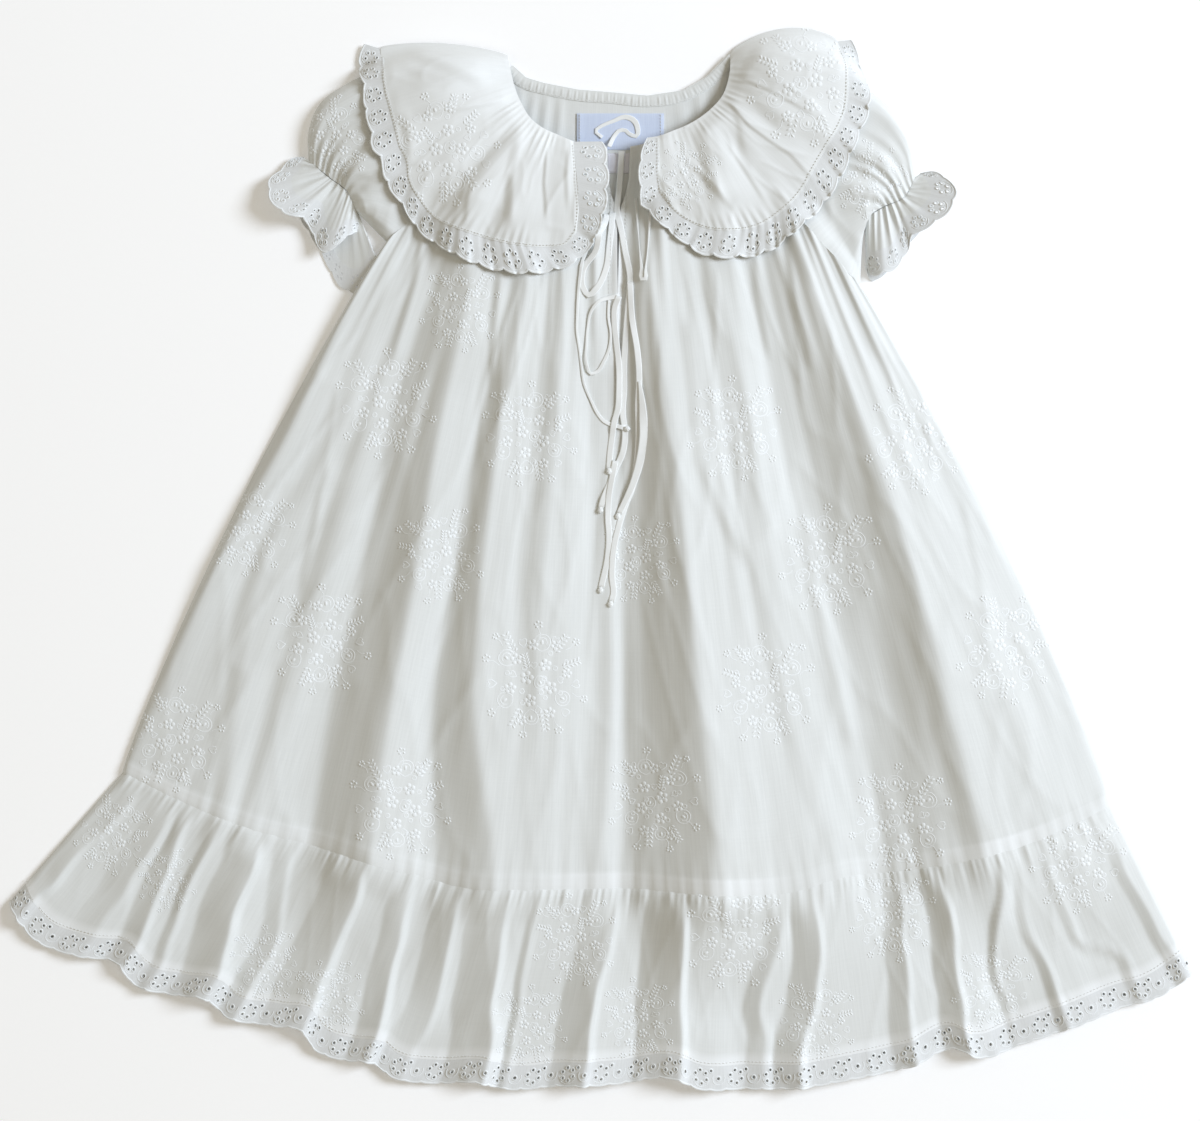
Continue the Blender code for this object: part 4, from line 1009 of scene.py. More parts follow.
def give_wall(made: bpy.types.Object, wall: float) -> bpy.types.Object:
    """Gives a sheet a wall of some mm behind its face, with its free edges sharp so that they shade apart.

    Args:
        made: the sheet.
        wall: its thickness, mm.

    Returns:
        The same object.
    """
    data = made.data
    edge = np.zeros(len(data.loops), np.int32)
    data.loops.foreach_get("edge_index", edge)
    free = np.bincount(edge, minlength=len(data.edges)) == 1
    layer = data.attributes.get("sharp_edge") or data.attributes.new("sharp_edge", "BOOLEAN", "EDGE")
    layer.data.foreach_set("value", free)
    shell = made.modifiers.new("wall", "SOLIDIFY")
    shell.thickness = wall * MM
    shell.offset = -1.0
    return made


def mend(made: bpy.types.Object, closed: bool) -> bpy.types.Object:
    """Turns a closed mesh's faces outwards, or removes the points that no face of an open one uses.

    Args:
        made: the object.
        closed: whether its mesh is closed.

    Returns:
        The same object.
    """
    work = bmesh.new()
    work.from_mesh(made.data)
    if closed:
        bmesh.ops.recalc_face_normals(work, faces=work.faces)
    else:
        bmesh.ops.delete(work, geom=[v for v in work.verts if not v.link_faces], context="VERTS")
    work.to_mesh(made.data)
    work.free()
    made.data.shade_smooth()
    return made


@dataclass
class Cloth:
    """A sheet of cloth through a grid of points: rows by columns by x, y, z of its outer side, mm."""

    name: str
    grid: Array
    closed: bool = False
    slit: Optional[tuple[int, int]] = None  # column, and the row where it ends
    doubled: Optional[Array] = None  # 1 where a seam allowance lies behind

    def split(self) -> tuple[Array, Array, Array, Array]:
        """Points and face indices, with the slit's edges parted.

        Returns:
            Points, faces, cloth map of each point (metres), and the doubled share of each.
        """
        rows, columns = self.grid.shape[:2]
        points = self.grid.reshape(-1, 3).copy()
        index = np.arange(rows * columns).reshape(rows, columns)
        left, right = index.copy(), index.copy()
        maps = self.cloth_map().reshape(-1, 2)
        doubled = np.zeros(rows * columns) if self.doubled is None else self.doubled.reshape(-1).copy()
        if self.slit:
            column, end = self.slit
            here = index[:end, column]
            half = opening(points[here, 1]) + SLIT_GAP / 2 * (1 - np.arange(end) / end) ** 0.6
            right[:end, column] = len(points) + np.arange(end)
            parted = points[here].copy()
            parted[:, 0] += half
            points[here, 0] -= half
            points = np.concatenate([points, parted])
            maps = np.concatenate([maps, maps[here]])
            doubled = np.concatenate([doubled, doubled[here]])
        faces = np.stack([right[:-1, :-1], right[1:, :-1], left[1:, 1:], left[:-1, 1:]], axis=-1)
        faces = faces.reshape(-1, 4)
        if self.closed:
            ring = np.stack([index[:-1, -1], index[1:, -1], index[1:, 0], index[:-1, 0]], axis=-1)
            faces = np.concatenate([faces, ring])
        return points, faces, maps, doubled

    def cloth_map(self) -> Array:
        """Lengths across and along the cloth from its first corner, in metres."""
        across = reached(self.grid[len(self.grid) // 2])
        along = reached(self.grid[:, self.grid.shape[1] // 2])
        return np.stack(np.meshgrid(across, along), axis=-1) * MM

    def built(self, material: bpy.types.Material, wall: float) -> bpy.types.Object:
        """The sheet as an object with a wall of some mm."""
        points, faces, maps, doubled = self.split()
        made = mesh_object(self.name, placed(points), faces, material)
        give_map(made.data, maps)
        made.data.attributes.new("doubled", "FLOAT", "POINT").data.foreach_set("value", doubled)
        return give_wall(made, wall)

    def tree(self) -> BVHTree:
        """The sheet for exact drops, mm."""
        points, faces, _, _ = self.split()
        return BVHTree.FromPolygons([Vector(p) for p in points], faces.tolist())


class Relief:
    """The cloth laid so far: its highest points on a plan grid of 1 mm cells, for what lies on it."""

    def __init__(self) -> None:
        """Nothing is laid yet."""
        self.corner = np.array([-350.0, -320.0])
        self.z = np.zeros((640, 700))

    def lay(self, grid: Array, fine: int = 4) -> None:
        """Adds a cloth's points, with fine of them for each of its own.

        Args:
            grid: the cloth's points, mm.
            fine: how many are added for each, along and across.
        """
        rows, columns = grid.shape[:2]
        u = np.linspace(0, rows - 1, (rows - 1) * fine + 1)
        v = np.linspace(0, columns - 1, (columns - 1) * fine + 1)
        i, j = np.minimum(u.astype(int), rows - 2), np.minimum(v.astype(int), columns - 2)
        f, g = (u - i)[:, None, None], (v - j)[None, :, None]
        near = blend(grid[i][:, j], grid[i][:, j + 1], g)
        points = blend(near, blend(grid[i + 1][:, j], grid[i + 1][:, j + 1], g), f).reshape(-1, 3)
        cell = np.round(points[:, :2] - self.corner).astype(int)
        np.maximum.at(self.z, (cell[:, 1], cell[:, 0]), points[:, 2])

    def over(self, reach: int, soft: int) -> Callable[[Array, Array], Array]:
        """Cloth that bridges the hollows of what is laid.

        Args:
            reach: how far a height spreads, mm.
            soft: how far it is smoothed, mm.

        Returns:
            A function of x, y that gives its height.
        """
        z = self.z.copy()
        for axis in (0, 1):
            z = np.max([np.roll(z, k, axis) for k in range(-reach, reach + 1)], axis=0)
        for _ in range(2):
            for axis in (0, 1):
                z = np.mean([np.roll(z, k, axis) for k in range(-soft, soft + 1)], axis=0)

        def at(x: Array, y: Array) -> Array:
            """The bridging cloth's height at x, y."""
            u, v = x - self.corner[0], y - self.corner[1]
            i, j = np.floor(v).astype(int), np.floor(u).astype(int)
            f, g = v - i, u - j
            return blend(blend(z[i, j], z[i, j + 1], g), blend(z[i + 1, j], z[i + 1, j + 1], g), f)

        return at


def dropped(plan: Array, tree: BVHTree, down: bool = True) -> Array:
    """Height of the cloth met by each point of a plan, from above or from below; NaN where there is none.

    Args:
        plan: the points.
        tree: the cloth.
        down: True from above, False from below.

    Returns:
        The heights, mm.
    """
    found = np.full(len(plan), np.nan)
    start, way = (400.0, Vector((0, 0, -1))) if down else (-400.0, Vector((0, 0, 1)))
    for k, (x, y) in enumerate(plan):
        hit = tree.ray_cast(Vector((x, y, start)), way)[0]
        if hit is not None:
            found[k] = hit.z
    return found


# --- thread work in the flat: x, y and height over the cloth, mm ---
class Work:
    """Raised thread gathered into one mesh."""

    def __init__(self) -> None:
        """No thread yet."""
        self.points: list[Array] = []
        self.faces: list[list[int]] = []
        self.count = 0

    def add(self, points: Array, faces: Iterable) -> None:
        """Adds a shape's points and faces."""
        self.points.append(np.asarray(points, float))
        self.faces += [[int(v) + self.count for v in face] for face in faces]
        self.count += len(points)

    def array(self) -> Array:
        """All points."""
        return np.concatenate(self.points)

    def pad(self, x: float, y: float, turn: float, length: float, width: float, height: float,
            sides: int = 8) -> None:
        """A padded satin-stitch oval.

        Args:
            x, y: its middle.
            turn: its length's direction, radians.
            length, width, height: its sizes.
            sides: of its outline.
        """
        a = np.arange(sides) * math.tau / sides
        rings = []
        for share, level in ((1.0, THREAD_FOOT), (0.8, 0.85 * height)):
            oval = turned(share * length / 2 * np.cos(a), share * width / 2 * np.sin(a), turn, x, y)
            rings.append(raised(oval, level))
        points = np.concatenate([*rings, [[x, y, height]]])
        k = np.arange(sides)
        n = (k + 1) % sides
        walls = np.stack([k, n, n + sides, k + sides], -1).tolist()
        self.add(points, walls + [[a + sides, b + sides, 2 * sides] for a, b in zip(k, n)])

    def cord(self, line: Array, half: float, height: float, closed: bool = False) -> None:
        """A raised line of stitches along points, half as wide on each side.

        Args:
            line: its points.
            half: half its width.
            height: of its middle.
            closed: whether its end joins its start.
        """
        line = np.asarray(line, float)
        if closed:
            along = np.roll(line, -1, 0) - np.roll(line, 1, 0)
        else:
            along = np.gradient(line, axis=0)
        along /= np.maximum(np.linalg.norm(along, axis=1, keepdims=True), 1e-9)
        side = np.stack([-along[:, 1], along[:, 0]], -1) * half
        rows = [raised(line + side, THREAD_FOOT), raised(line, height), raised(line - side, THREAD_FOOT)]
        n = len(line)
        k = np.arange(n if closed else n - 1)
        m = (k + 1) % n
        faces = [np.stack([k + i * n, k + (i + 1) * n, m + (i + 1) * n, m + i * n], -1) for i in (0, 1)]
        self.add(np.concatenate(rows), np.concatenate(faces).tolist())

    def ring(self, x: float, y: float, radius: float, half: float, height: float, sides: int) -> None:
        """An overcast rim round a hole."""
        self.cord(circle(x, y, radius, sides), half, height, closed=True)


# --- Geometry Nodes ---
@dataclass(frozen=True)
class StitchRow:
    """Sizes of a row of stitches, mm: from stitch to stitch, and each one's length and width."""

    spacing: float
    length: float
    width: float


class Repeater:
    """Geometry Nodes trees for what repeats: cells in a row, and stitches along a line."""

    def __init__(self) -> None:
        """Builds both trees."""
        self.row_tree = self.build_row()
        self.stitch_tree = self.build_stitches()

    @staticmethod
    def start(name: str, **inputs: str) -> tuple[bpy.types.NodeTree, bpy.types.Node]:
        """A tree with a geometry input, inputs of the kinds named, and a geometry output.

        Args:
            name: of the tree.
            **inputs: the kind of each input, by name.

        Returns:
            The tree and its input node.
        """
        tree = bpy.data.node_groups.new(name, "GeometryNodeTree")
        for label, kind in {"Geometry": "Geometry", **inputs}.items():
            tree.interface.new_socket(label, in_out="INPUT", socket_type=f"NodeSocket{kind}")
        tree.interface.new_socket("Geometry", in_out="OUTPUT", socket_type="NodeSocketGeometry")
        return tree, node(tree, "NodeGroupInput")

    @staticmethod
    def end(tree: bpy.types.NodeTree, given: bpy.types.Node, instances: bpy.types.NodeSocket,
            weld: bool) -> None:
        """Realizes the instances, welds them if asked, and sets the material.

        Args:
            tree: the tree.
            given: its input node.
            instances: what it has made.
            weld: whether to join points that meet.
        """
        real = node(tree, "GeometryNodeRealizeInstances", Geometry=instances).outputs[0]
        if weld:
            real = node(tree, "GeometryNodeMergeByDistance", Geometry=real, Distance=1e-5).outputs[0]
        dressed = node(tree, "GeometryNodeSetMaterial", Geometry=real, Material=given.outputs["Material"])
        node(tree, "NodeGroupOutput", Geometry=dressed.outputs[0])

    def build_row(self) -> bpy.types.NodeTree:
        """A flat cell repeated along +X and welded to the next."""
        tree, given = self.start("cells in a row", Count="Int", Pitch="Vector", Material="Material")
        line = node(tree, "GeometryNodeMeshLine", {"mode": "OFFSET"}, Count=given.outputs["Count"],
                    Offset=given.outputs["Pitch"])
        row = node(tree, "GeometryNodeInstanceOnPoints", Points=line.outputs[0],
                   Instance=given.outputs["Geometry"])
        self.end(tree, given, row.outputs[0], weld=True)
        return tree

    def build_stitches(self) -> bpy.types.NodeTree:
        """Small stitches along the edges of a line, each turned along it."""
        tree, given = self.start("stitches along a line", Spacing="Float", Length="Float", Width="Float",
                                 Material="Material")
        curve = node(tree, "GeometryNodeMeshToCurve", Mesh=given.outputs["Geometry"])
        points = node(tree, "GeometryNodeCurveToPoints", {"mode": "LENGTH"}, Curve=curve.outputs[0],
                      Length=given.outputs["Spacing"])
        bead = node(tree, "GeometryNodeMeshUVSphere", Segments=6, Rings=4, Radius=0.5)
        size = node(tree, "ShaderNodeCombineXYZ", X=given.outputs["Width"], Y=given.outputs["Width"],
                    Z=given.outputs["Length"])
        row = node(tree, "GeometryNodeInstanceOnPoints", Points=points.outputs["Points"],
                   Instance=bead.outputs["Mesh"], Rotation=points.outputs["Rotation"], Scale=size.outputs[0])
        self.end(tree, given, row.outputs[0], weld=False)
        return tree

    @staticmethod
    def run(made: bpy.types.Object, tree: bpy.types.NodeTree, **values) -> bpy.types.Object:
        """Runs a tree on an object and keeps the plain mesh.

        Args:
            made: the object, whose mesh is the tree's geometry.
            tree: the tree.
            **values: the tree's inputs, by name.

        Returns:
            The same object with its new mesh.
        """
        modifier = made.modifiers.new(tree.name, "NODES")
        modifier.node_group = tree
        for item in tree.interface.items_tree:
            if item.in_out == "INPUT" and item.name in values:
                modifier[item.identifier] = values[item.name]
        bpy.context.view_layer.update()
        result = bpy.data.meshes.new_from_object(made.evaluated_get(bpy.context.evaluated_depsgraph_get()))
        made.modifiers.remove(modifier)
        made.data = result
        result.name = made.name
        return made

    def stitches(self, name: str, lines: Sequence[Array], row: StitchRow,
                 material: bpy.types.Material) -> bpy.types.Object:
        """Rows of stitches.

        Args:
            name: the object's name.
            lines: each row's points, mm.
            row: the stitches' sizes.
            material: their thread.

        Returns:
            The object.
        """
        edges, count = [], 0
        for line in lines:
            edges += [(count + k, count + k + 1) for k in range(len(line) - 1)]
            count += len(line)
        data = bpy.data.meshes.new(name)
        data.from_pydata(placed(np.concatenate(lines)).tolist(), edges, [])
        made = self.run(shown(name, data), self.stitch_tree, Spacing=row.spacing * MM, Length=row.length * MM,
                        Width=row.width * MM, Material=material)
        made.data.shade_smooth()
        return made


# --- eyelet trim ---
class Strip:
    """A band of cloth that a flat pattern is laid on: across it in rows, along it in columns."""

    def __init__(self, grid: Array) -> None:
        """Measures a grid of points, mm, along its middle, and finds which way each faces."""
        self.grid = grid
        self.at = reached(grid[len(grid) // 2])
        down, along = np.gradient(grid, axis=0), np.gradient(grid, axis=1)
        normal = np.cross(down, along)
        self.normal = normal / np.linalg.norm(normal, axis=-1, keepdims=True)

    @property
    def length(self) -> float:
        """Its length along the middle, mm."""
        return float(self.at[-1])

    def mapped(self, flat: Array, width: float) -> Array:
        """Flat points (along, across, height) as points on the band, width mm wide.

        Args:
            flat: the points, mm.
            width: of the band, mm.

        Returns:
            x, y, z of each, mm.
        """
        column = np.interp(flat[:, 0], self.at, np.arange(len(self.at)))
        row = np.clip(flat[:, 1] / width, 0, 1.0) * (len(self.grid) - 1)
        j = np.minimum(column.astype(int), len(self.at) - 2)
        i = np.minimum(row.astype(int), len(self.grid) - 2)
        f, g = (row - i)[:, None], (column - j)[:, None]

        def read(values: Array) -> Array:
            """The grid's values at each point."""
            near = blend(values[i, j], values[i, j + 1], g)
            return blend(near, blend(values[i + 1, j], values[i + 1, j + 1], g), f)

        return read(self.grid) + read(self.normal) * flat[:, 2:]


@dataclass(frozen=True)
class EyeletTrim:
    """Broderie anglaise edging in scallops: rings of six eyelets, and single ones where there is room."""

    pitch: float = 20.0  # mm from group to group
    depth: float = 0.8  # mm of the scallops
    group: float = 0.56  # the group's share of the pitch; 1 for rings alone
    ring: float = 3.4  # radius of the ring of eyelets
    hole: float = 0.68  # radius of an eyelet
    width: float = TRIM
    sides: int = 9  # of an eyelet
    cell_step: float = 0.9  # mm between points along the edges
    spacing: float = 1.5  # mm between points inside
    rim: float = 0.42  # how far a rim's middle lies outside its hole, and its height

    def edge(self, u: Array) -> Array:
        """Distance across the trim of its scalloped edge.

        Args:
            u: place along, mm.

        Returns:
            The distance from the sewn edge, mm.
        """
        u = np.mod(u, self.pitch)
        split = self.group * self.pitch
        f = np.where(u < split, u / split, (u - split) / max(self.pitch - split, 0.01))
        return self.width - self.depth * (1 - np.sin(np.pi * np.clip(f, 0, 1)) ** 0.6)

    def holes(self) -> list[tuple[float, float, float]]:
        """Middle and radius of each eyelet."""
        x, y = self.group * self.pitch / 2, self.width * 0.5
        turns = np.arange(6) * math.tau / 6 + 0.35
        found = [(x + self.ring * math.cos(a), y + self.ring * math.sin(a), self.hole) for a in turns]
        if self.group < 1:
            single = (1 + self.group) / 2 * self.pitch
            found += [(single, y + 0.4, self.hole * 1.25), (self.pitch * self.group, y - 3.6, self.hole)]
        return found

    def cell(self) -> tuple[Array, list[list[int]]]:
        """One repeat as flat points and triangles, with its eyelets cut."""
        columns = np.linspace(0, self.pitch, round(self.pitch / self.cell_step) + 1)
        ends = np.r_[0, np.arange(1, 9) / 9, 1] * self.edge(np.array([0.0]))
        points = [(u, 0.0) for u in columns] + [(self.pitch, v) for v in ends[1:-1]]
        points += [(u, v) for u, v in zip(columns[::-1], self.edge(columns[::-1] % self.pitch))]
        points += [(0.0, v) for v in ends[-2:0:-1]]
        edges = [(k, (k + 1) % len(points)) for k in range(len(points))]
        turns = np.arange(self.sides) * math.tau / self.sides
        for x, y, radius in self.holes():
            first = len(points)
            points += [(x + radius * math.cos(a), y + radius * math.sin(a)) for a in turns]
            edges += [(first + k, first + (k + 1) % self.sides) for k in range(self.sides)]
        for v in np.arange(self.spacing, self.width - self.spacing * 0.6, self.spacing):
            for u in np.arange(self.spacing * 0.75, self.pitch - self.spacing * 0.5, self.spacing):
                clear = all(math.hypot(u - x, v - y) > radius + 0.55 for x, y, radius in self.holes())
                if clear and v < self.edge(np.array(u)) - 0.7:
                    points.append((u, v))
        made, _, faces, *_ = delaunay_2d_cdt([Vector(p) for p in points], edges, [], 0, 1e-5)
        made = np.array([tuple(p) for p in made])
        kept = []
        for face in faces:
            u, v = made[list(face)].mean(axis=0)
            cut = any(math.hypot(u - x, v - y) < radius * 0.97 for x, y, radius in self.holes())
            if not cut and v < self.edge(np.array(u)) + 0.02:
                kept.append(list(face)[::-1])
        return made, kept

    def work(self, count: int, pitch: float) -> Work:
        """The raised stitching of count repeats: rims, inner arcs and the scallops' buttonholed edge.

        Args:
            count: how many repeats.
            pitch: mm from repeat to repeat on this band.

        Returns:
            The thread.
        """
        work, share, middle = Work(), pitch / self.pitch, self.width * 0.5

        def arc(x: float, wide: float, high: float, over: float, points: int) -> Array:
            """A half ring about x, running over radians past its half turn at each end."""
            a = np.linspace(-over, math.pi + over, points)
            return np.stack([start + (x - wide * np.cos(a)) * share, middle + high * np.sin(a)], -1)

        for k in range(count):
            start = k * pitch
            for x, y, radius in self.holes():
                work.ring(start + x * share, y, radius + self.rim, 0.45, self.rim, self.sides)
            if self.group < 1:
                work.cord(arc((1 + self.group) / 2 * self.pitch, 3.5, 3.7, 0.35, 12), 0.35, 0.3)
            work.cord(arc(self.group * self.pitch / 2, 5.0, 5.2, -0.25, 10), 0.3, 0.28)
        u = np.linspace(0, count * pitch, count * 24 + 1)
        work.cord(np.stack([u, self.edge(u / share) - 0.45], -1), 0.55, 0.42)
        return work

    def built(self, name: str, strip: Strip, repeater: Repeater, dresser: Dresser) -> list[bpy.types.Object]:
        """The trim along a band.

        Args:
            name: of the lace, and of its stitching with "_eyelets" after it.
            strip: the band it is laid on.
            repeater, dresser: the shared makers.

        Returns:
            The lace and its stitching.
        """
        count = max(3, round(strip.length / self.pitch))
        pitch = strip.length / count
        flat, faces = self.cell()
        flat = raised(np.hstack([flat[:, :1] * pitch / self.pitch, flat[:, 1:]]), 0.0)
        lace = mesh_object(name, flat * MM, faces, dresser(Finish.LACE))
        repeater.run(lace, repeater.row_tree, Count=count, Pitch=(pitch * MM, 0.0, 0.0),
                     Material=dresser(Finish.LACE))
        data = lace.data
        points = np.zeros(len(data.vertices) * 3)
        data.vertices.foreach_get("co", points)
        flat = points.reshape(-1, 3) / MM
        give_map(data, flat[:, :2] * MM)
        data.vertices.foreach_set("co", placed(strip.mapped(flat, self.width)).reshape(-1))
        data.shade_smooth()
        give_wall(lace, LACE_WALL)
        work = self.work(count, pitch)
        rims = mesh_object(f"{name}_eyelets", placed(strip.mapped(work.array(), self.width)), work.faces,
                           dresser(Finish.SATIN_STITCH))
        return [lace, rims]


# --- the garment's pieces ---
class Slot(Enum):
    """The garment's finishes as a maker may choose them anew."""

    VOILE = "cotton_voile"
    TRIM = "eyelet_trim"
    TIE = "rouleau_tie"
    BLUE = "label_blue"
    WHITE = "label_white"


@dataclass
class Bench:
    """What every piece is made with: finishes, repeats and the cloth laid so far."""

    dress: Dresser
    repeat: Repeater
    relief: Relief

    def keep(self, made: bpy.types.Object, slot: Slot, *nodes: str) -> bpy.types.Object:
        """Rides a piece on the garment, and hides the solids that it stands for.

        Args:
            made: the piece.
            slot: not used.
            *nodes: the solids.

        Returns:
            The same object.
        """
        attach(made, "root")
        if nodes:
            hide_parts(*nodes)
        return made

    def cloth(self, cloth: Cloth, stands_for: str) -> bpy.types.Object:
        """Builds a sheet in voile and keeps it."""
        return self.keep(cloth.built(self.dress(Finish.VOILE), WALL), Slot.VOILE, stands_for)

    def trim(self, name: str, trim: EyeletTrim, grid: Array, stands_for: str) -> list[bpy.types.Object]:
        """Lays eyelet trim on a band and keeps both its parts."""
        lace, rims = trim.built(name, Strip(grid), self.repeat, self.dress)
        return [self.keep(lace, Slot.TRIM, stands_for), self.keep(rims, Slot.TRIM)]

    def stitches(self, name: str, lines: Sequence[Array], row: StitchRow, slot: Slot) -> bpy.types.Object:
        """Sews rows of stitches along lines and keeps them."""
        return self.keep(self.repeat.stitches(name, lines, row, self.dress(Finish.SEWING)), slot)


@dataclass
class Front:
    """The gathered front panel, its frill and the hem's eyelet trim."""

    bench: Bench
    columns: int = 240
    rows: int = 140
    frill_columns: int = 760
    frill_rows: int = 30
    trim_columns: int = 1100
    side_columns: tuple[float, float] = (0.0012, 0.0035)  # shares of the width where the side folds turn
    width: float = 560.0  # mm across the panel, and down it
    length: float = 345.0
    top_width: float = 290.0  # mm across the panel's upper edge
    frill_width: float = 640.0  # mm across the frill, and down it
    frill_depth: float = 95.0
    hem_width: float = 650.0  # mm across the frill at its hem
    edge_round: float = 3.2  # mm over which the side folds round to the back
    allowance: float = 8.0  # mm of seam allowance that shows through above the frill
    placket: float = 3.8  # mm of turned edge that shows through on each side of the slit
    neck_tucks: Tucks = Tucks(2.4, 25.0, 11)
    fine_neck_tucks: Tucks = Tucks(0.5, 11.0, 13)
    seam_tucks: Tucks = Tucks(0.9, 9.0, 31)
    swells: Swells = Swells(0.9, 17, 150, 21)
    ripples: Swells = Swells(0.35, 7, 60, 22)
    creasing: Crumples = Crumples(1.1, 24, 70, 23)
    frill_swells: Swells = Swells(0.7, 13, 70, 41)
    frill_creasing: Crumples = Crumples(0.55, 19, 60, 48)
    frill_gathers: Tucks = Tucks(0.9, 16.0, 45)
    sharp_gathers: Tucks = Tucks(1.0, 4.3, 49)
    gather_height: float = 1.1
    flutter: Swells = Swells(0.6, 6, 10, 47)
    stitch: StitchRow = StitchRow(2.1, 1.5, 0.36)
    panel: Cloth = field(init=False)
    frill: Cloth = field(init=False)

    def plan(self, s: Array, t: Array) -> Array:
        """The panel's plan, pushed apart at the neck's opening.

        Args:
            s: share across.
            t: share down.

        Returns:
            x, y of each, mm.
        """
        plan = panel_plan(FRONT_TOP, s, t)
        middle = panel_plan(FRONT_TOP, 0 * s + SLIT_AT, t)[..., 0]
        away = plan[..., 0] - middle
        plan[..., 0] += np.sign(away) * opening(plan[..., 1]) * (1 - ease(0, 24, np.abs(away)))
        return plan

    def across(self, count: int) -> Array:
        """Shares across the cloth, with more columns at its side folds."""
        sides = np.array(self.side_columns)
        return np.unique(np.r_[np.linspace(0, 1, count + 1), sides, 1 - sides])

    def side_share(self, s: Array, width: Array) -> Array:
        """0 at the side folds, 1 away from them."""
        return np.sqrt(np.clip(np.minimum(s, 1 - s) * width / self.edge_round, 0, 1))

    def panel_z(self, plan: Array, s: Array, t: Array) -> Array:
        """The panel's heights, with its creases, gathers and drift.

        Args:
            plan: its plan.
            s: share across.
            t: share down.

        Returns:
            The heights, mm.
        """
        x, y = plan[..., 0], plan[..., 1]
        u, v = s * self.width, t * self.length
        lifted = rest(x, y)
        z = panel_height(x, y) + creased(x, y, CREASES)
        reach = 0.30 + 0.16 * waver(u, 5, 14)
        z = z + (self.neck_tucks(u) + self.fine_neck_tucks(u)) * (1 - ease(0.04, reach, t))
        z = z + self.swells(u, v) * ease(0.1, 0.4, t)
        z = z + self.ripples(u, v) + self.creasing(u, v) * ease(0.05, 0.3, t)
        z = np.maximum(z + self.seam_tucks(s * self.frill_width) * ease(0.93, 1.0, t), FLAT - 0.2 + lifted)
        beside = x - panel_plan(FRONT_TOP, 0 * s + SLIT_AT, t)[..., 0]
        pressed = (1 - ease(5, np.where(beside > 0, 34, 20), np.abs(beside))) * ease(160, 198, y)
        z = blend(z, FLAT - 0.9 + lifted, 0.85 * pressed)
        return blend(BACK_Z + lifted + SIDE_GAP, z, self.side_share(s, blend(self.top_width, self.width, t)))

    def frill_z(self, s: Array, t: Array, at_seam: Array) -> Array:
        """The frill's heights: the panel's at the seam, its own folds and gathers below.

        Args:
            s: share across.
            t: share down.
            at_seam: the panel's heights at the seam.

        Returns:
            The heights, mm.
        """
        u, v = s * self.frill_width, t * self.frill_depth
        folds = frill_height(s, t) + self.frill_swells(u, v) + self.frill_creasing(u, v)
        window = np.hanning(25) / np.hanning(25).sum()
        hill = np.convolve(np.pad(at_seam[0], 12, mode="edge"), window, mode="valid") - FRILL_LOW
        z = blend(at_seam, folds + hill * (1 - ease(-0.2, 0.75, t)), ease(0, 0.22, t))
        reach = 0.24 + 0.20 * waver(u, 43, 7)
        uneven = 0.35 + 0.9 * ease(-0.4, 0.7, waver(u, 53, 31))
        tucks = 0.4 * pleats(u, 6.1, 44) + self.frill_gathers(u)
        z = z + self.gather_height * uneven * tucks * ease(0, 0.03, t) * (1 - ease(0.04, reach, t))
        short = 0.12 + 0.07 * waver(u, 51, 4)
        sharp = 0.9 * ease(-0.5, 0.5, waver(u, 54, 19))
        z = z + sharp * self.sharp_gathers(u) * ease(0, 0.015, t) * (1 - ease(0.02, short, t))
        return blend(BACK_Z + SIDE_GAP, np.maximum(z, FLAT - 0.3), self.side_share(s, self.hem_width))

    def make_panel(self) -> bpy.types.Object:
        """The panel, parted at its slit."""
        columns = self.across(self.columns)
        s, t = np.meshgrid(columns, np.r_[np.linspace(0, 0.97, self.rows - 4), np.linspace(0.975, 1, 6)])
        plan = self.plan(s, t)
        above = self.length * (1 - t)
        doubled = 1 - ease(self.allowance - 0.8, self.allowance + 0.4, above)
        z = self.panel_z(plan, s, t) + 0.3 * doubled * ease(0, 1.2, above)
        doubled = doubled * (0.45 + 0.45 * waver(s * self.frill_width, 33, 45))
        slit = int(np.argmin(np.abs(columns - SLIT_AT)))
        end = int(np.argmin(np.abs(plan[:, slit, 1] - SLIT_END_Y)))
        beside = np.abs(plan[..., 0] - plan[:, slit, 0][:, None])
        placket = 1 - ease(self.placket - 0.4, self.placket + 0.4, beside)
        placket = placket * (plan[..., 1] > SLIT_END_Y - 4)
        self.panel = Cloth("front_panel_cloth", raised(plan, z), slit=(slit, end),
                           doubled=np.maximum(doubled, placket * 0.7))
        return self.bench.cloth(self.panel, "front_panel")

    def make_frill(self) -> bpy.types.Object:
        """The frill, gathered on to the panel."""
        s, t = np.meshgrid(self.across(self.frill_columns), np.linspace(0, 1, self.frill_rows) ** 1.15)
        z = self.frill_z(s, t, np.interp(s, self.across(self.columns), self.panel.grid[-1, :, 2]))
        z = z - 0.12 * (1 - ease(0.0, 0.02, t))
        doubled = 1 - ease(3.5, 4.5, self.frill_depth * (1 - t))
        self.frill = Cloth("front_frill_cloth", raised(frill_plan(s, -TUCK, TRIM, t), z), doubled=doubled)
        return self.bench.cloth(self.frill, "front_frill")

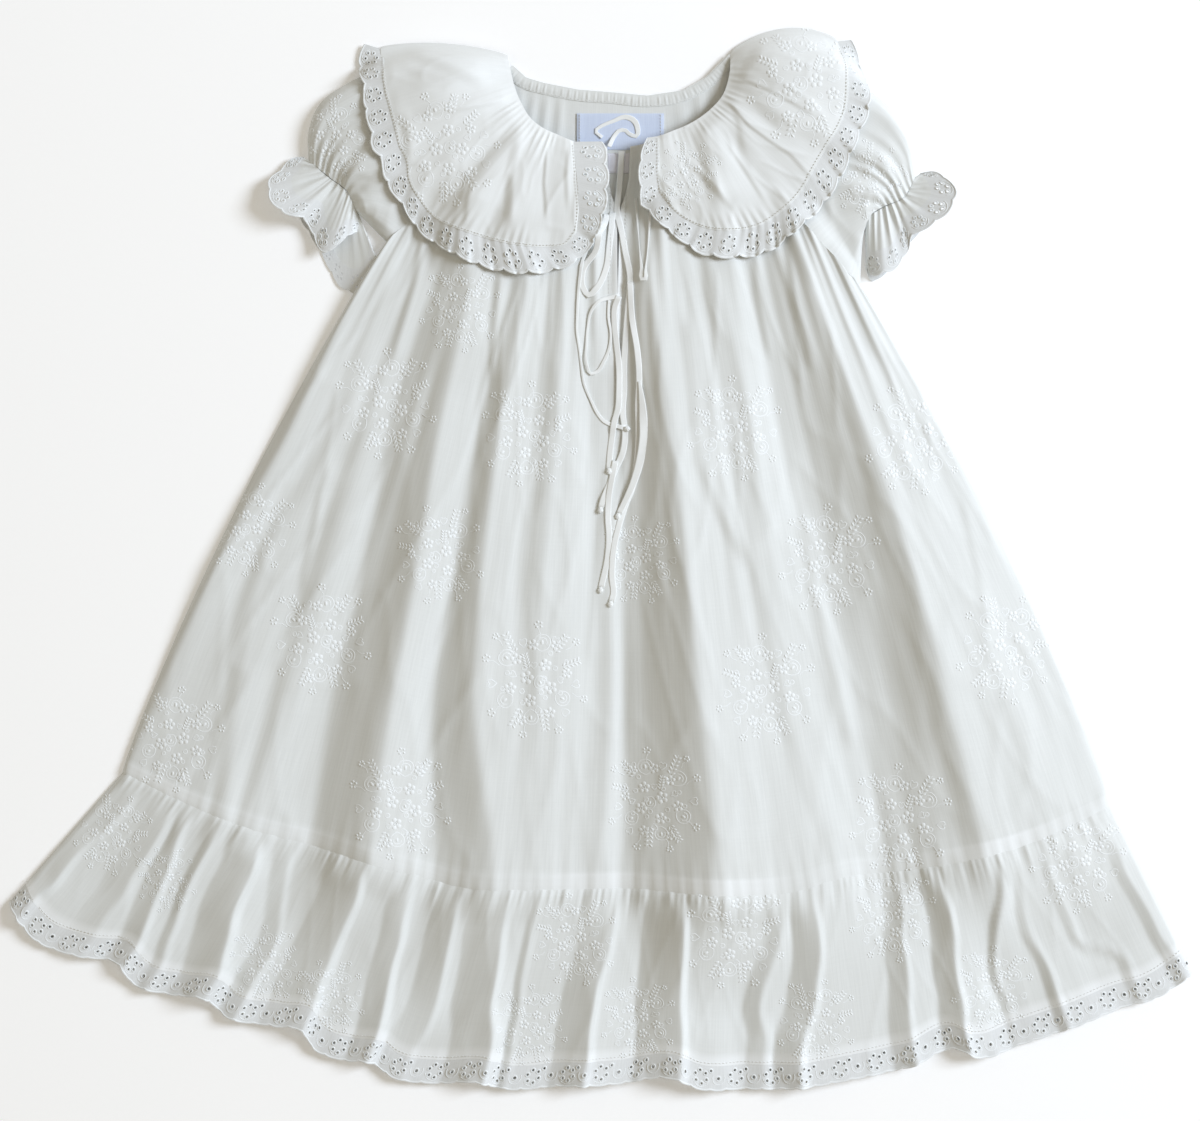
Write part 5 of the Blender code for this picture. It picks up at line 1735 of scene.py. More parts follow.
    def build(self) -> list[bpy.types.Object]:
        """Makes the front.

        Returns:
            The panel, frill, trim and its stitching.
        """
        panel, frill = self.make_panel(), self.make_frill()
        s, share = shares(self.trim_columns, 7)
        z = np.interp(s, self.across(self.frill_columns), self.frill.grid[-1, :, 2])
        z = z + self.flutter(s * self.frill_width, share * TRIM) * share
        z = z - 0.15 * (1 - ease(0.0, 0.10, share))
        strip = raised(trim_plan(s, TUCK, 0, share), z)
        trim = self.bench.trim("front_hem_lace", EyeletTrim(), strip, "front_hem_trim")
        for grid in (self.panel.grid, self.frill.grid, strip):
            self.bench.relief.lay(grid)
        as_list(trim[1:])
        return [panel, frill, *trim]

    def sew(self) -> list[bpy.types.Object]:
        """Stitches above the hem's trim and on each side of the slit."""
        hem = self.frill.grid[-1] + (0, 1.6, 0.25)
        panel = self.panel.grid
        column = int(np.argmin(np.abs(panel[0, :, 0] - SLIT_TOP_X)))
        rows = int(np.argmin(np.abs(panel[:, column, 1] - SLIT_END_Y)))
        sides = [panel[8:rows, column] + (dx, 0, 0.35) for dx in (-4.2, 4.2)]
        return [self.bench.stitches("front_seam_stitches", [hem, *sides], self.stitch, Slot.VOILE)]


@dataclass
class Back:
    """The back panel, frill and trim, flat on the surface with soft troughs of its own."""

    bench: Bench
    columns: int = 150
    rows: int = 90
    frill_columns: int = 260
    frill_rows: int = 14
    trim_columns: int = 700
    width: float = 600.0  # mm across the panel, and down it
    length: float = 400.0
    seam_at: float = 380.0  # mm down to the seam
    frill_width: float = 640.0  # mm across the frill, and down it
    frill_depth: float = 95.0
    swells: Swells = Swells(1.0, 34, 240, 61)
    tucks: Tucks = Tucks(0.4, 21.0, 62)
    neck_tucks: Tucks = Tucks(1.3, 11.0, 65)
    seam_tucks: Tucks = Tucks(1.0, 8.5, 63)
    hem_tucks: Tucks = Tucks(1.0, 24.0, 64)
    panel: Cloth = field(init=False)

    def lift(self, s: Array, v: Array) -> Array:
        """Soft folds that lift the back cloth a little, from 0 to 1.6 mm."""
        u = s * self.width
        return 1.6 * np.clip(self.swells(u, v) - 0.1, 0, 1) + self.tucks(u) * ease(0, 60, v)

    def make_panel(self) -> bpy.types.Object:
        """The panel, gathered at its neck on each side of the label."""
        s, t = shares(self.columns + 1, self.rows + 1)
        plan = panel_plan(BACK_TOP, s, t)
        x, y = plan[..., 0], plan[..., 1]
        side = ease(0, 0.03, np.minimum(s, 1 - s))
        z = BACK_Z + rest(x, y) + self.lift(s, t * self.length) * side * ease(0.5, 0.62, t)
        beside_label = ease(26, 34, np.abs(x - 10))
        tucks = self.neck_tucks(s * self.width / 2) * beside_label
        z = z + tucks * ease(0.01, 0.03, t) * (1 - ease(0.06, 0.14, t))
        doubled = 1 - ease(7.2, 8.4, self.seam_at * (1 - t))
        self.panel = Cloth("back_panel_cloth", raised(plan, z), doubled=doubled)
        return self.bench.cloth(self.panel, "back_panel")

    def build(self) -> list[bpy.types.Object]:
        """Makes the back.

        Returns:
            The panel, frill, trim and its stitching.
        """
        panel = self.make_panel()
        s, t = shares(self.frill_columns + 1, self.frill_rows)
        side = ease(0, 0.03, np.minimum(s, 1 - s))
        u = s * self.frill_width
        fan = blend(self.seam_tucks(u), self.hem_tucks(u), ease(0, 0.6, t))
        z = BACK_Z + side * (0.9 * fan + self.lift(s, self.seam_at + t * self.frill_depth) * 0.4)
        cloth = Cloth("back_frill_cloth", raised(frill_plan(s, 0.3, TRIM, t), z))
        frill = self.bench.cloth(cloth, "back_frill")
        at, share = shares(self.trim_columns, 5)
        strip = raised(trim_plan(at, -0.3, 0.6, share), np.interp(at, s[0], z[-1]))
        trim = self.bench.trim("back_hem_lace", EyeletTrim(), strip, "back_hem_trim")
        for grid in (self.panel.grid, cloth.grid, strip):
            self.bench.relief.lay(grid)
        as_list(trim[1:])
        return [panel, frill, *trim]


NECK_Z = BACK_Z + rest(*NECK)  # the back cloth's upper side below the neck


@dataclass(frozen=True)
class Label:
    """A bare woven label, sewn flat below the neck."""

    name: str
    size: tuple[float, float]  # mm
    middle: tuple[float, float]
    finish: Finish
    slot: Slot
    lift: float = 0.9  # mm over the cloth it is sewn to
    wall: float = 0.5

    def cloth(self) -> Cloth:
        """The label, a little bowed, with its ends turned in and its edges down on the cloth."""
        u, v = np.meshgrid(np.linspace(-0.5, 0.5, 41), np.linspace(0.5, -0.5, 17))
        plan = np.stack([self.middle[0] + u * self.size[0], self.middle[1] + v * self.size[1]], -1)
        ends = ease(0.445, 0.455, np.abs(u)) * 0.28
        bow = 0.35 * np.sin(math.pi * (u + 0.5)) * (0.6 + 0.4 * np.cos(5 * v))
        tucked = -0.5 * ease(0.46, 0.5, np.maximum(np.abs(u), np.abs(v)))
        return Cloth(f"{self.name}_satin", raised(plan, NECK_Z + self.lift + ends + bow + tucked))

    def side_lines(self) -> list[Array]:
        """The lines of stitches down its two ends."""
        (x, y), (w, h) = self.middle, self.size
        xs, level = (x - w * 0.465, x + w * 0.465), NECK_Z + self.lift + 0.45
        return [raised(np.array([(at, y + h * 0.44), (at, y - h * 0.44)]), level) for at in xs]


@dataclass
class Neckline:
    """The back neck's gathered casing, and the two bare labels below it."""

    bench: Bench
    maker: Label = Label("neck_label", (48.0, 20.0), (10.1, 238.0), Finish.LABEL_BLUE, Slot.BLUE)
    size: Label = Label("size_label", (13.0, 11.0), (9.5, 220.5), Finish.LABEL_WHITE, Slot.WHITE)
    columns: int = 250
    column_step: float = 0.62  # mm of cloth from column to column
    tucks: Tucks = Tucks(0.55, 2.3, 71)
    wide_tucks: Tucks = Tucks(0.6, 4.1, 73)
    casing_stitch: StitchRow = StitchRow(2.1, 1.2, 0.3)
    label_stitch: StitchRow = StitchRow(1.7, 1.2, 0.35)

    def make_casing(self) -> list[bpy.types.Object]:
        """The casing and the stitches along its lower edge."""
        table = np.array(BACK_TOP)
        neck = table[(table[:, 0] > NECK_FROM - 0.01) & (table[:, 0] < NECK_TO + 0.01), 1:]
        line = path(neck, np.linspace(0.0, 1.0, self.columns))
        along = np.gradient(line, axis=0)
        down = np.stack([along[:, 1], -along[:, 0]], -1) / np.linalg.norm(along, axis=1, keepdims=True)
        across = np.linspace(0, 1, 9)
        plan = line[None] + down[None] * (0.3 + CASING * across)[:, None, None]
        u = np.arange(self.columns) * self.column_step
        ticks = self.tucks(u) + self.wide_tucks(u)
        base = NECK_Z + 0.35
        z = base + 0.8 * np.sin(np.pi * np.clip(across, 0.02, 0.98))[:, None] * (0.3 + 0.7 * ticks[None])
        cloth = Cloth("neck_casing_cloth", raised(plan, z))
        casing = self.bench.cloth(cloth, "neck_casing")
        self.bench.relief.lay(cloth.grid)
        row = raised(line + down * (CASING - 0.5), base + 0.25)
        return [casing, self.bench.stitches("neck_casing_stitches", [row], self.casing_stitch, Slot.VOILE)]

    def build(self) -> list[bpy.types.Object]:
        """Makes the casing, both labels and their stitches.

        Returns:
            All of them.
        """
        bench, made = self.bench, self.make_casing()
        for label in (self.maker, self.size):
            cloth = label.cloth()
            satin = bench.keep(cloth.built(bench.dress(label.finish), label.wall), label.slot, label.name)
            bench.relief.lay(cloth.grid)
            made.append(satin)
        made.append(bench.stitches("label_stitches", self.maker.side_lines(), self.label_stitch, Slot.BLUE))
        return made


COLLAR_TRIM = EyeletTrim(pitch=13.5, depth=1.8, group=1, ring=3.3, hole=0.56)


@dataclass
class Collar:
    """One front half of the gathered collar and its eyelet trim."""

    bench: Bench
    side: Side
    columns: int = 170
    rows: int = 50
    loft: float = 2.3  # mm that its middle stands off what is under it
    neck_length: float = 95.0  # mm round the folds at the neck and at the edge
    edge_length: float = 225.0
    width: float = 200.0  # mm of cloth round it and across it, for its gathers
    depth: float = 80.0
    fold_round: float = 1.8
    flutter: float = 2.2
    trim: EyeletTrim = COLLAR_TRIM
    stitch: StitchRow = StitchRow(1.9, 1.3, 0.4)
    cloth: Cloth = field(init=False)

    def __post_init__(self) -> None:
        """Looks up its side, and takes the relief as it is before the collar is laid."""
        self.half = COLLAR_HALVES[self.side]
        self.edge = np.array(self.half.edge, float)
        self.corner = len(self.edge) - COLLAR_FRONT_ROWS
        over = self.bench.relief.over
        self.near, self.far, self.closest = over(3, 2), over(6, 11), over(2, 1)

    def facing(self, grid: Array) -> Array:
        """A grid with its outer side up: the right half's columns run the other way."""
        return grid if self.side is Side.LEFT else grid[:, ::-1]

    def lift(self, x: Array, y: Array, a: Array, r: Array) -> Array:
        """How far the collar stands off what is under it.

        Args:
            x, y: the place in plan.
            a: share of the way round, from the shoulder.
            r: share of the way from the neck to the edge.

        Returns:
            The height of its loft, folds, gathers and creases, mm.
        """
        b = a if self.side is Side.LEFT else 1 - a
        seed, u, v = self.half.seed, b * self.width, r * self.depth
        around = blend(self.neck_length, self.edge_length, r)
        z = folded(b, r, self.half.folds, COLLAR_R, COLLAR_Z_R, around, self.fold_round) * ease(0.0, 0.14, r)
        reach = 0.34 + 0.28 * waver(u, seed, 7)
        strength = 0.15 + 0.65 * ease(-0.5, 0.6, waver(u, seed + 11, 15))
        z = z + strength * gathers(u, 8.6, seed + 1) * ease(0.0, 0.05, r) * (1 - ease(0.06, reach, r))
        fine = Swells(0.9, 13, 60, seed + 3)(u, v) + Crumples(1.0, 19, 36, seed + 5)(u, v)
        pucker = gathers(u, 5.2, seed + 7) * ease(0.78 + 0.1 * waver(u, seed + 8, 5), 0.97, r)
        pucker = pucker * (0.15 + 0.8 * ease(-0.2, 0.6, waver(u, seed + 9, 24)))
        z = z + pucker * ease(0.3, 0.6, a)
        z = z + fine * ease(0.1, 0.5, r) * (1 - 0.5 * ease(0.9, 1.0, r))
        puff = self.loft * np.sin(np.pi * np.clip(r, 0, 1))
        return puff + z + creased(x, y, self.half.creases) * ease(0.0, 0.15, r)

    def under(self, x: Array, y: Array, a: Array, r: Array) -> Array:
        """What it lies on, followed closely near its edge and beside the opening, and bridged elsewhere."""
        close = np.maximum(0.5 * ease(0.65, 1.0, r), 0.85 * ease(0.8, 0.97, a))
        return blend(self.far(x, y), self.near(x, y), close)

    def cloth_plan(self, a: Array, r: Array) -> Array:
        """The cloth's plan, a share a round it and r from neck to edge.

        Args:
            a: share of the way round, from the shoulder.
            r: share of the way from the neck to the edge.

        Returns:
            x, y of each, mm.
        """
        neck, edge, corner = self.half.neck, self.edge[:, :2], self.corner
        plan = blend(path(neck, a), path(edge[: corner + 1], a), r[..., None])
        plan[..., 1] += self.half.bulge * (1 - ease(0, 0.25, a)) * np.clip(np.sin(np.pi * r), 0, 1) ** 0.7
        straight = blend(np.array(neck[-1], float), edge[corner], r[..., None])
        front = path(edge[corner:][::-1], r)
        return plan + (front - straight) * ease(0.82, 1.0, a)[..., None]

    def make_cloth(self) -> bpy.types.Object:
        """The cloth, with its turn at the shoulder fold and its seam allowance at the neck."""
        a, r = np.meshgrid(np.linspace(0, 1, self.columns + 1) ** 1.04, np.linspace(0, 1, self.rows))
        plan = self.cloth_plan(a, r)
        x, y = plan[..., 0], plan[..., 1]
        z = self.under(x, y, a, r) + 1.2 + self.lift(x, y, a, r)
        grid = raised(plan, blend(2.7, z, ease(0.0, 0.075, a) ** 0.7))
        grid = self.facing(np.concatenate([grid[:, :1] + (0.0, 0.9, -1.1), grid], axis=1))
        band = 0.7 * (1 - ease(0.02, 0.05, np.linspace(0, 1, self.rows)))
        doubled = np.broadcast_to(np.maximum(band, 0.5)[:, None], grid.shape[:2])
        self.cloth = Cloth(f"collar_{self.side.value}_cloth", grid, doubled=doubled)
        return self.bench.cloth(self.cloth, f"collar_{self.side.value}")

    def make_trim(self) -> tuple[Array, list[bpy.types.Object]]:
        """The trim, round the edge and up the front, and the stitches that hold it.

        Returns:
            The band it is laid on, and the lace, its stitching and the sewn line.
        """
        q = np.r_[np.linspace(0, 1, 520), np.linspace(1, 2, 150)[1:]]  # 1 at the corner, 2 up the front

        def line(edge: Array) -> Array:
            """A line of the table at each q."""
            low = path(edge[: self.corner + 1], np.clip(q, 0, 1))
            return np.where(q[:, None] <= 1, low, path(edge[self.corner :], np.clip(q - 1, 0, 1)))

        sewn, outer = line(self.edge[:, :2]), line(self.edge[:, 2:])
        way = outer - sewn
        inner = sewn - way / np.linalg.norm(way, axis=-1, keepdims=True) * TUCK
        share = np.linspace(0, 1, 7)[:, None]
        a, r = np.minimum(q, 1.0), np.minimum(2 - q, 1.0)
        plan = blend(inner[None], outer[None], share[..., None])
        x, y = plan[..., 0], plan[..., 1]
        at_edge = self.lift(x, y, a[None], r[None])
        front = ease(0.92, 1.08, q)[None]
        under = self.under(x, y, a[None], r[None])
        under = blend(blend(under, self.closest(x, y), ease(0.1, 1.0, share)), under[:1], front)
        flutter = self.flutter * pleats(q * self.edge_length, 13.5, 85)[None] * share**0.7
        outer_lift = blend(0.5 + at_edge * 0.5 + flutter, 1.8 + at_edge[:1] + 0.3 * flutter, front)
        lift = blend(1.1 + blend(at_edge, at_edge[:1], front), outer_lift, share)
        z = blend(2.4, under + lift, ease(0.0, 0.05, q)[None])
        strip, name = self.facing(raised(plan, z)), f"collar_{self.side.value}"
        made = self.bench.trim(f"{name}_lace", self.trim, strip, f"collar_trim_{self.side.value}")
        held = raised(sewn - way * 0.08, z[0] + 0.75)[14:-8]
        return strip, [*made, self.bench.stitches(f"{name}_stitches", [held], self.stitch, Slot.VOILE)]

    def build(self) -> list[bpy.types.Object]:
        """Makes the collar half and its trim.

        Returns:
            The cloth, its lace and their stitching.
        """
        made = self.make_cloth()
        strip, (lace, rims, stitches) = self.make_trim()
        for grid in (self.cloth.grid, strip):
            self.bench.relief.lay(grid)
        return [made, lace, rims, stitches]


@dataclass
class BackCollar:
    """The collar's hidden back part, flat under the back."""

    bench: Bench
    width: float = 330.0  # mm of cloth round it, for its gathers
    tucks: Tucks = Tucks(0.45, 12.0, 95)
    trim: EyeletTrim = COLLAR_TRIM

    def build(self) -> list[bpy.types.Object]:
        """Makes the cloth and its trim.

        Returns:
            The cloth, its lace and the lace's stitching.
        """
        table, q = np.array(COLLAR_BACK, float), np.linspace(0, 1, 90)
        neck, edge = path(table[:, :2], q), path(table[:, 2:4], q)
        share = np.linspace(0, 1, 14)[:, None]
        z = 0.6 + self.tucks(q * self.width)[None] * np.sin(np.pi * share)
        cloth = Cloth("collar_back_cloth", raised(blend(neck[None], edge[None], share[..., None]), z))
        made = self.bench.cloth(cloth, "collar_back")
        q = np.linspace(0, 1, 500)
        edge, outer = path(table[:, 2:4], q), path(table[:, 4:6], q)
        plan = blend(edge[None], outer[None], np.linspace(0, 1, 4)[:, None, None])
        trim = self.bench.trim("collar_back_lace", self.trim, raised(plan, 0.62), "collar_trim_back")
        self.bench.relief.lay(cloth.grid)
        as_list(trim[1:])
        return [made, *trim]


@dataclass
class Sleeve:
    """A puffed raglan sleeve, drawn in by elastic, with its cuff frill and trim."""

    bench: Bench
    side: Side
    over_count: int = 72  # points over it, from the shoulder fold to the underarm
    under_count: int = 26
    rings: int = 40
    cuff_count: int = 300
    girth: float = 60.0  # mm of cloth over it and along it, for its gathers
    length: float = 48.0
    sewn_down: float = 1.05  # mm that the raglan seam goes in under the panel in y
    trim: EyeletTrim = EyeletTrim(pitch=13.0, depth=1.6, group=1, ring=3.1, hole=0.56)
    cloth: Cloth = field(init=False)

    def __post_init__(self) -> None:
        """Looks up its side, and reads the panel's height along the raglan seam."""
        self.arm = ARMS[self.side]
        share = np.linspace(0, 1, self.over_count)
        cosine = np.cos(np.pi * share)
        self.over = 0.5 - 0.5 * cosine * (0.75 + 0.25 * np.abs(cosine))
        front = self.plan(0.0, self.over, True)
        self.seam = self.bench.relief.over(1, 1)(front[:, 0], front[:, 1])

    def facing(self, grid: Array) -> Array:
        """A grid with its outer side out: the right sleeve's columns run the other way."""
        return grid if self.side is Side.LEFT else grid[:, ::-1]

    def plan(self, u: float, v: Array, front: bool) -> Array:
        """Points across the sleeve, a share u of the way out and v from the shoulder fold to the underarm.

        Args:
            u: share of the way out.
            v: shares across.
            front: True for the upper side, False underneath.

        Returns:
            x, y of each, mm.
        """
        arm = self.arm
        neck, end = np.array(arm.neck, float), np.array(arm.underarm[0], float)
        points = np.array([*neck, end]) if front else np.array([neck[0], end])
        knots = (0, SLEEVE_NECK_SHARE / 2, SLEEVE_NECK_SHARE, 1) if front else (0, 1)
        near = np.stack([np.interp(v, knots, points[:, i]) for i in (0, 1)], axis=-1)
        far = path(arm.elastic, v)
        v = v[:, None]
        sides = blend(path(arm.shoulder, u), path(arm.underarm, u), v)
        tips = blend(np.array(arm.shoulder[-1]), np.array(arm.underarm[-1]), v)
        plan = blend(near, far, u) + sides - blend(blend(neck[0], end, v), tips, u)
        if front:
            plan += np.array([arm.sewn_in, -self.sewn_down]) * (1 - float(ease(0, 0.08, u)))
        return plan

    def front_z(self, front: Array, u: float, v: Array) -> Array:
        """Heights of its upper side: the raglan seam's, then a crown with its gathers, tucks and creases.

        Args:
            front: its plan.
            u: share of the way out.
            v: shares across.

        Returns:
            The heights, mm.
        """
        x, y = front[:, 0], front[:, 1]
        low, seed, w = rest(x, y), self.arm.seed, v * self.girth
        crown = self.arm.crown * (0.12 + 0.88 * math.sin(math.pi * (0.1 + 0.86 * u)) ** 0.8)
        z = low + 4.2 + crown * np.sin(np.pi * v**self.arm.lean) ** 0.6
        z = blend(np.interp(v, self.over, self.seam) - 0.3, z, ease(0.0, 0.22, u))
        short = 0.55 + 0.3 * waver(w, seed + 7, 5)
        tucks = gathers(w, 5.4, seed) * 2.2 * ease(short, 1.0, u)
        tucks = tucks + gathers(w, 17.0, seed + 2) * 3.0 * ease(0.05, 0.5, u) * (1 - ease(0.8, 1.0, u))
        tucks = tucks + Crumples(1.3, 12, 18, seed + 5)(w, 0 * v + u * self.length) * ease(0.05, 0.3, u)
        z = z + (tucks - 0.8) * np.sin(np.pi * v) ** 0.4
        z = z + creased(x, y, self.arm.creases)
        return blend(low + 1.7, z, np.clip(np.minimum(v, 1 - v) / 0.05, 0, 1) ** 0.5)

    def ring(self, u: float, over: Array, under: Array) -> Array:
        """Points round the sleeve, a share u of the way out: over its front, then back under it.

        Args:
            u: share of the way out.
            over, under: shares across, on each side.

        Returns:
            x, y, z of each, mm.
        """
        front, back = self.plan(u, over, True), self.plan(u, under, False)
        lift = Tucks(0.4, 6.0, self.arm.seed + 3)(under * self.girth) * u
        below = rest(back[:, 0], back[:, 1]) + 0.12 + lift
        return np.concatenate([raised(front, self.front_z(front, u, over)), raised(back, below)])

    def cuff(self) -> tuple[Array, Array, Array]:
        """The cuff beyond the elastic.

        Returns:
            The frill's grid, the trim's, and which of their columns are in front.
        """
        arm = self.arm
        table = [*arm.cuff, *[(2 - row[0], *row[1:]) for row in arm.cuff_back], (2.0, *arm.cuff[0][1:])]
        table, q = np.array(table, float), np.linspace(0, 2, self.cuff_count)[:-1]
        outer, front = spline(q, table[:, 0], table[:, 1:]), q <= 1
        outer[~front, 2] = np.maximum(outer[~front, 2], 0.3)
        inner = self.ring(1.0, q[front], 2 - q[~front])
        way, u = outer - inner, q * self.girth
        length = np.linalg.norm(way[:, :2], axis=1, keepdims=True)
        strength = 1.5 * (0.75 + 0.5 * waver(u, 141, 12))
        flutes = raised(np.zeros((len(q), 2)), strength * (gathers(u, 6.5, arm.cuff_seed) - 0.4))
        edge = np.maximum(length - TRIM, length * 0.45) / length
        frill = np.stack([
            inner + way * edge * share + flutes * math.sin(math.pi * min(share, 0.8)) * front[:, None]
            for share in np.linspace(0.02, 1, 14)
        ])
        frill[..., 2] = np.maximum(frill[..., 2], 0.25)
        strip = blend(frill[-1][None], outer[None], np.linspace(0, 1, 6)[:, None, None])
        return frill, np.concatenate([strip, strip[:, :1]], axis=1), front

    def build(self) -> list[bpy.types.Object]:
        """Makes the sleeve, the cuff's frill and its trim.

        Returns:
            All of them.
        """
        bench, side = self.bench, self.side.value
        under = np.linspace(0.97, 0.03, self.under_count)
        rings = np.stack([self.ring(u, self.over, under) for u in np.linspace(0, 1, self.rings)])
        self.cloth = Cloth(f"sleeve_{side}_cloth", self.facing(rings), closed=True)
        sleeve = bench.cloth(self.cloth, f"sleeve_{side}")
        bench.relief.lay(rings[:, : self.over_count])
        frill, strip, front = self.cuff()
        cloth = Cloth(f"cuff_frill_{side}_cloth", self.facing(frill), closed=True)
        made = bench.cloth(cloth, f"cuff_frill_{side}")
        lace = bench.trim(f"cuff_{side}_lace", self.trim, self.facing(strip), f"cuff_trim_{side}")
        bench.relief.lay(frill[:, front])
        bench.relief.lay(strip[:, :-1][:, front])
        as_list(lace[1:])
        return [sleeve, made, *lace]


@dataclass
class Ties:
    """The rouleau ties: flat ribbons along listed routes, most ending in a knot."""

    bench: Bench
    below: Callable[[Array, Array], Array]  # height of what lies under the collar
    width: float = 3.4
    thick: float = 0.6
    step: float = 2.0  # mm from one section to the next
    lean: float = 0.22  # radians that a ribbon leans to either side
    around: float = 9.0  # mm round its section, for the weave

    def section(self) -> Array:
        """A flat ribbon's outline, its rolled edges a little thicker than its middle."""
        half = np.array(((1.0, 0.0), (0.93, 0.75), (0.70, 1.0), (0.0, 0.45), (-0.70, 1.0), (-0.93, 0.75)))
        return np.concatenate([half, -half]) * (self.width / 2, self.thick / 2)

    def laid(self, name: str, plan: Array, length: float) -> Array:
        """A tie's middle line on what is under it, led in under the collar where it is tucked.

        Args:
            name: of the tie.
            plan: its route.
            length: of the route, mm.

        Returns:
            x, y, z of each point, mm.
        """
        x, y = plan.T
        z = self.bench.relief.over(1, 1)(x, y) + self.thick / 2 - 0.1
        z = np.maximum(z, np.convolve(np.pad(z, 1, mode="edge"), np.ones(3) / 3, mode="valid"))
        reach, low = np.linspace(0, length, len(plan)), self.below(x, y) + self.thick / 2 + 0.1
        for hidden, gone in zip(TUCKED.get(name, (0, 0)), (reach, length - reach)):
            z = blend(z, low, hidden * (1 - ease(6, 13, gone)))
        return raised(plan, z)

    @staticmethod
    def directions(line: Array, lean: Array) -> tuple[Array, Array, Array]:
        """Along a line, and across and up from a ribbon on it that leans by some radians.

        Args:
            line: its points.
            lean: at each of them, radians.

        Returns:
            Along, across and up at each point.
        """
        along = np.gradient(line, axis=0)
        along /= np.linalg.norm(along, axis=1, keepdims=True)
        side = np.cross(along, (0, 0, 1.0))
        side /= np.linalg.norm(side, axis=1, keepdims=True)
        up = np.cross(side, along)
        cosine, sine = np.cos(lean)[:, None], np.sin(lean)[:, None]
        return along, side * cosine + up * sine, up * cosine - side * sine

    def tie(self, name: str, route: Array) -> bpy.types.Object:
        """One tie along its route.

        Args:
            name: of the tie's solid.
            route: x, y from the garment out, mm.

        Returns:
            The object.
        """
        length = np.linalg.norm(np.diff(route, axis=0), axis=1).sum()
        count = max(14, int(length / self.step))
        share = np.linspace(0, 1, count)
        line = self.laid(name, path(route, share), length)
        lean = self.lean * waver(np.arange(count) * self.step, len(name), 18)
        along, side, up = self.directions(line, lean)
        at, widths = np.array(TIE_WIDTHS.get(name, ((0, self.width), (1, self.width)))).T
        thin = spline(share, at, widths)[:, None, None] / self.width
        section = self.section()
        rings = line[:, None] + side[:, None] * section[None, :, :1] * thin
        rings = rings + up[:, None] * section[None, :, 1:]
        sides = len(section)
        index = np.arange(count * sides).reshape(count, sides)
        after = np.roll(index, -1, axis=1)
        faces = np.stack([index[:-1], after[:-1], after[1:], index[1:]], -1).reshape(-1, 4).tolist()
        faces += [index[0][::-1], index[-1]]
        made = mesh_object(f"{name}_ribbon", placed(rings.reshape(-1, 3)), faces,
                           self.bench.dress(Finish.ROULEAU))
        mend(made, closed=True)
        ring, turn = np.divmod(np.arange(count * sides), sides)
        give_map(made.data, np.stack([turn / sides * self.around, ring * length / count], -1) * MM)
        self.bench.keep(made, Slot.TIE, name)
        ends = [self.knot(f"{name}_knot", line[-1], along[-1])] if name in KNOTTED else []
        centre = placed(line)
        top = (0, 0, self.thick / 2)
        self.bench.relief.lay(np.stack([line + side * k * self.width / 2 + top for k in (-1, 0, 1)]), 3)
        return made

    def knot(self, name: str, at: Array, along: Array) -> bpy.types.Object:
        """A small overhand knot past a ribbon's end.

        Args:
            name: of the object.
            at: the ribbon's end, mm.
            along: its direction there.

        Returns:
            The object.
        """
        work = bmesh.new()
        bmesh.ops.create_uvsphere(work, u_segments=14, v_segments=9, radius=1.0)
        heading = math.atan2(along[1], along[0])
        for vertex in work.verts:
            x, y, z = vertex.co
            band = 0.16 * math.sin(5 * math.atan2(y, x) + 3 * z)
            vertex.co = (*turned(x * (1.8 + band), y * (1.5 + band), heading), z * (1.0 + band))
        data = bpy.data.meshes.new(name)
        work.to_mesh(data)
        work.free()
        points = np.array([tuple(v.co) for v in data.vertices]) + at + along * 1.2 + (0, 0, 0.3)
        data.vertices.foreach_set("co", placed(points).reshape(-1))
        data.shade_smooth()
        data.materials.append(self.bench.dress(Finish.ROULEAU))
        data.uv_layers.new(name="cloth")
        return self.bench.keep(shown(name, data), Slot.TIE)

    def build(self) -> list[bpy.types.Object]:
        """Makes every tie, from the lowest to the one on top.

        Returns:
            The ties.
        """
        return [self.tie(name, np.array(route, float)) for name, route in TIES.items()]


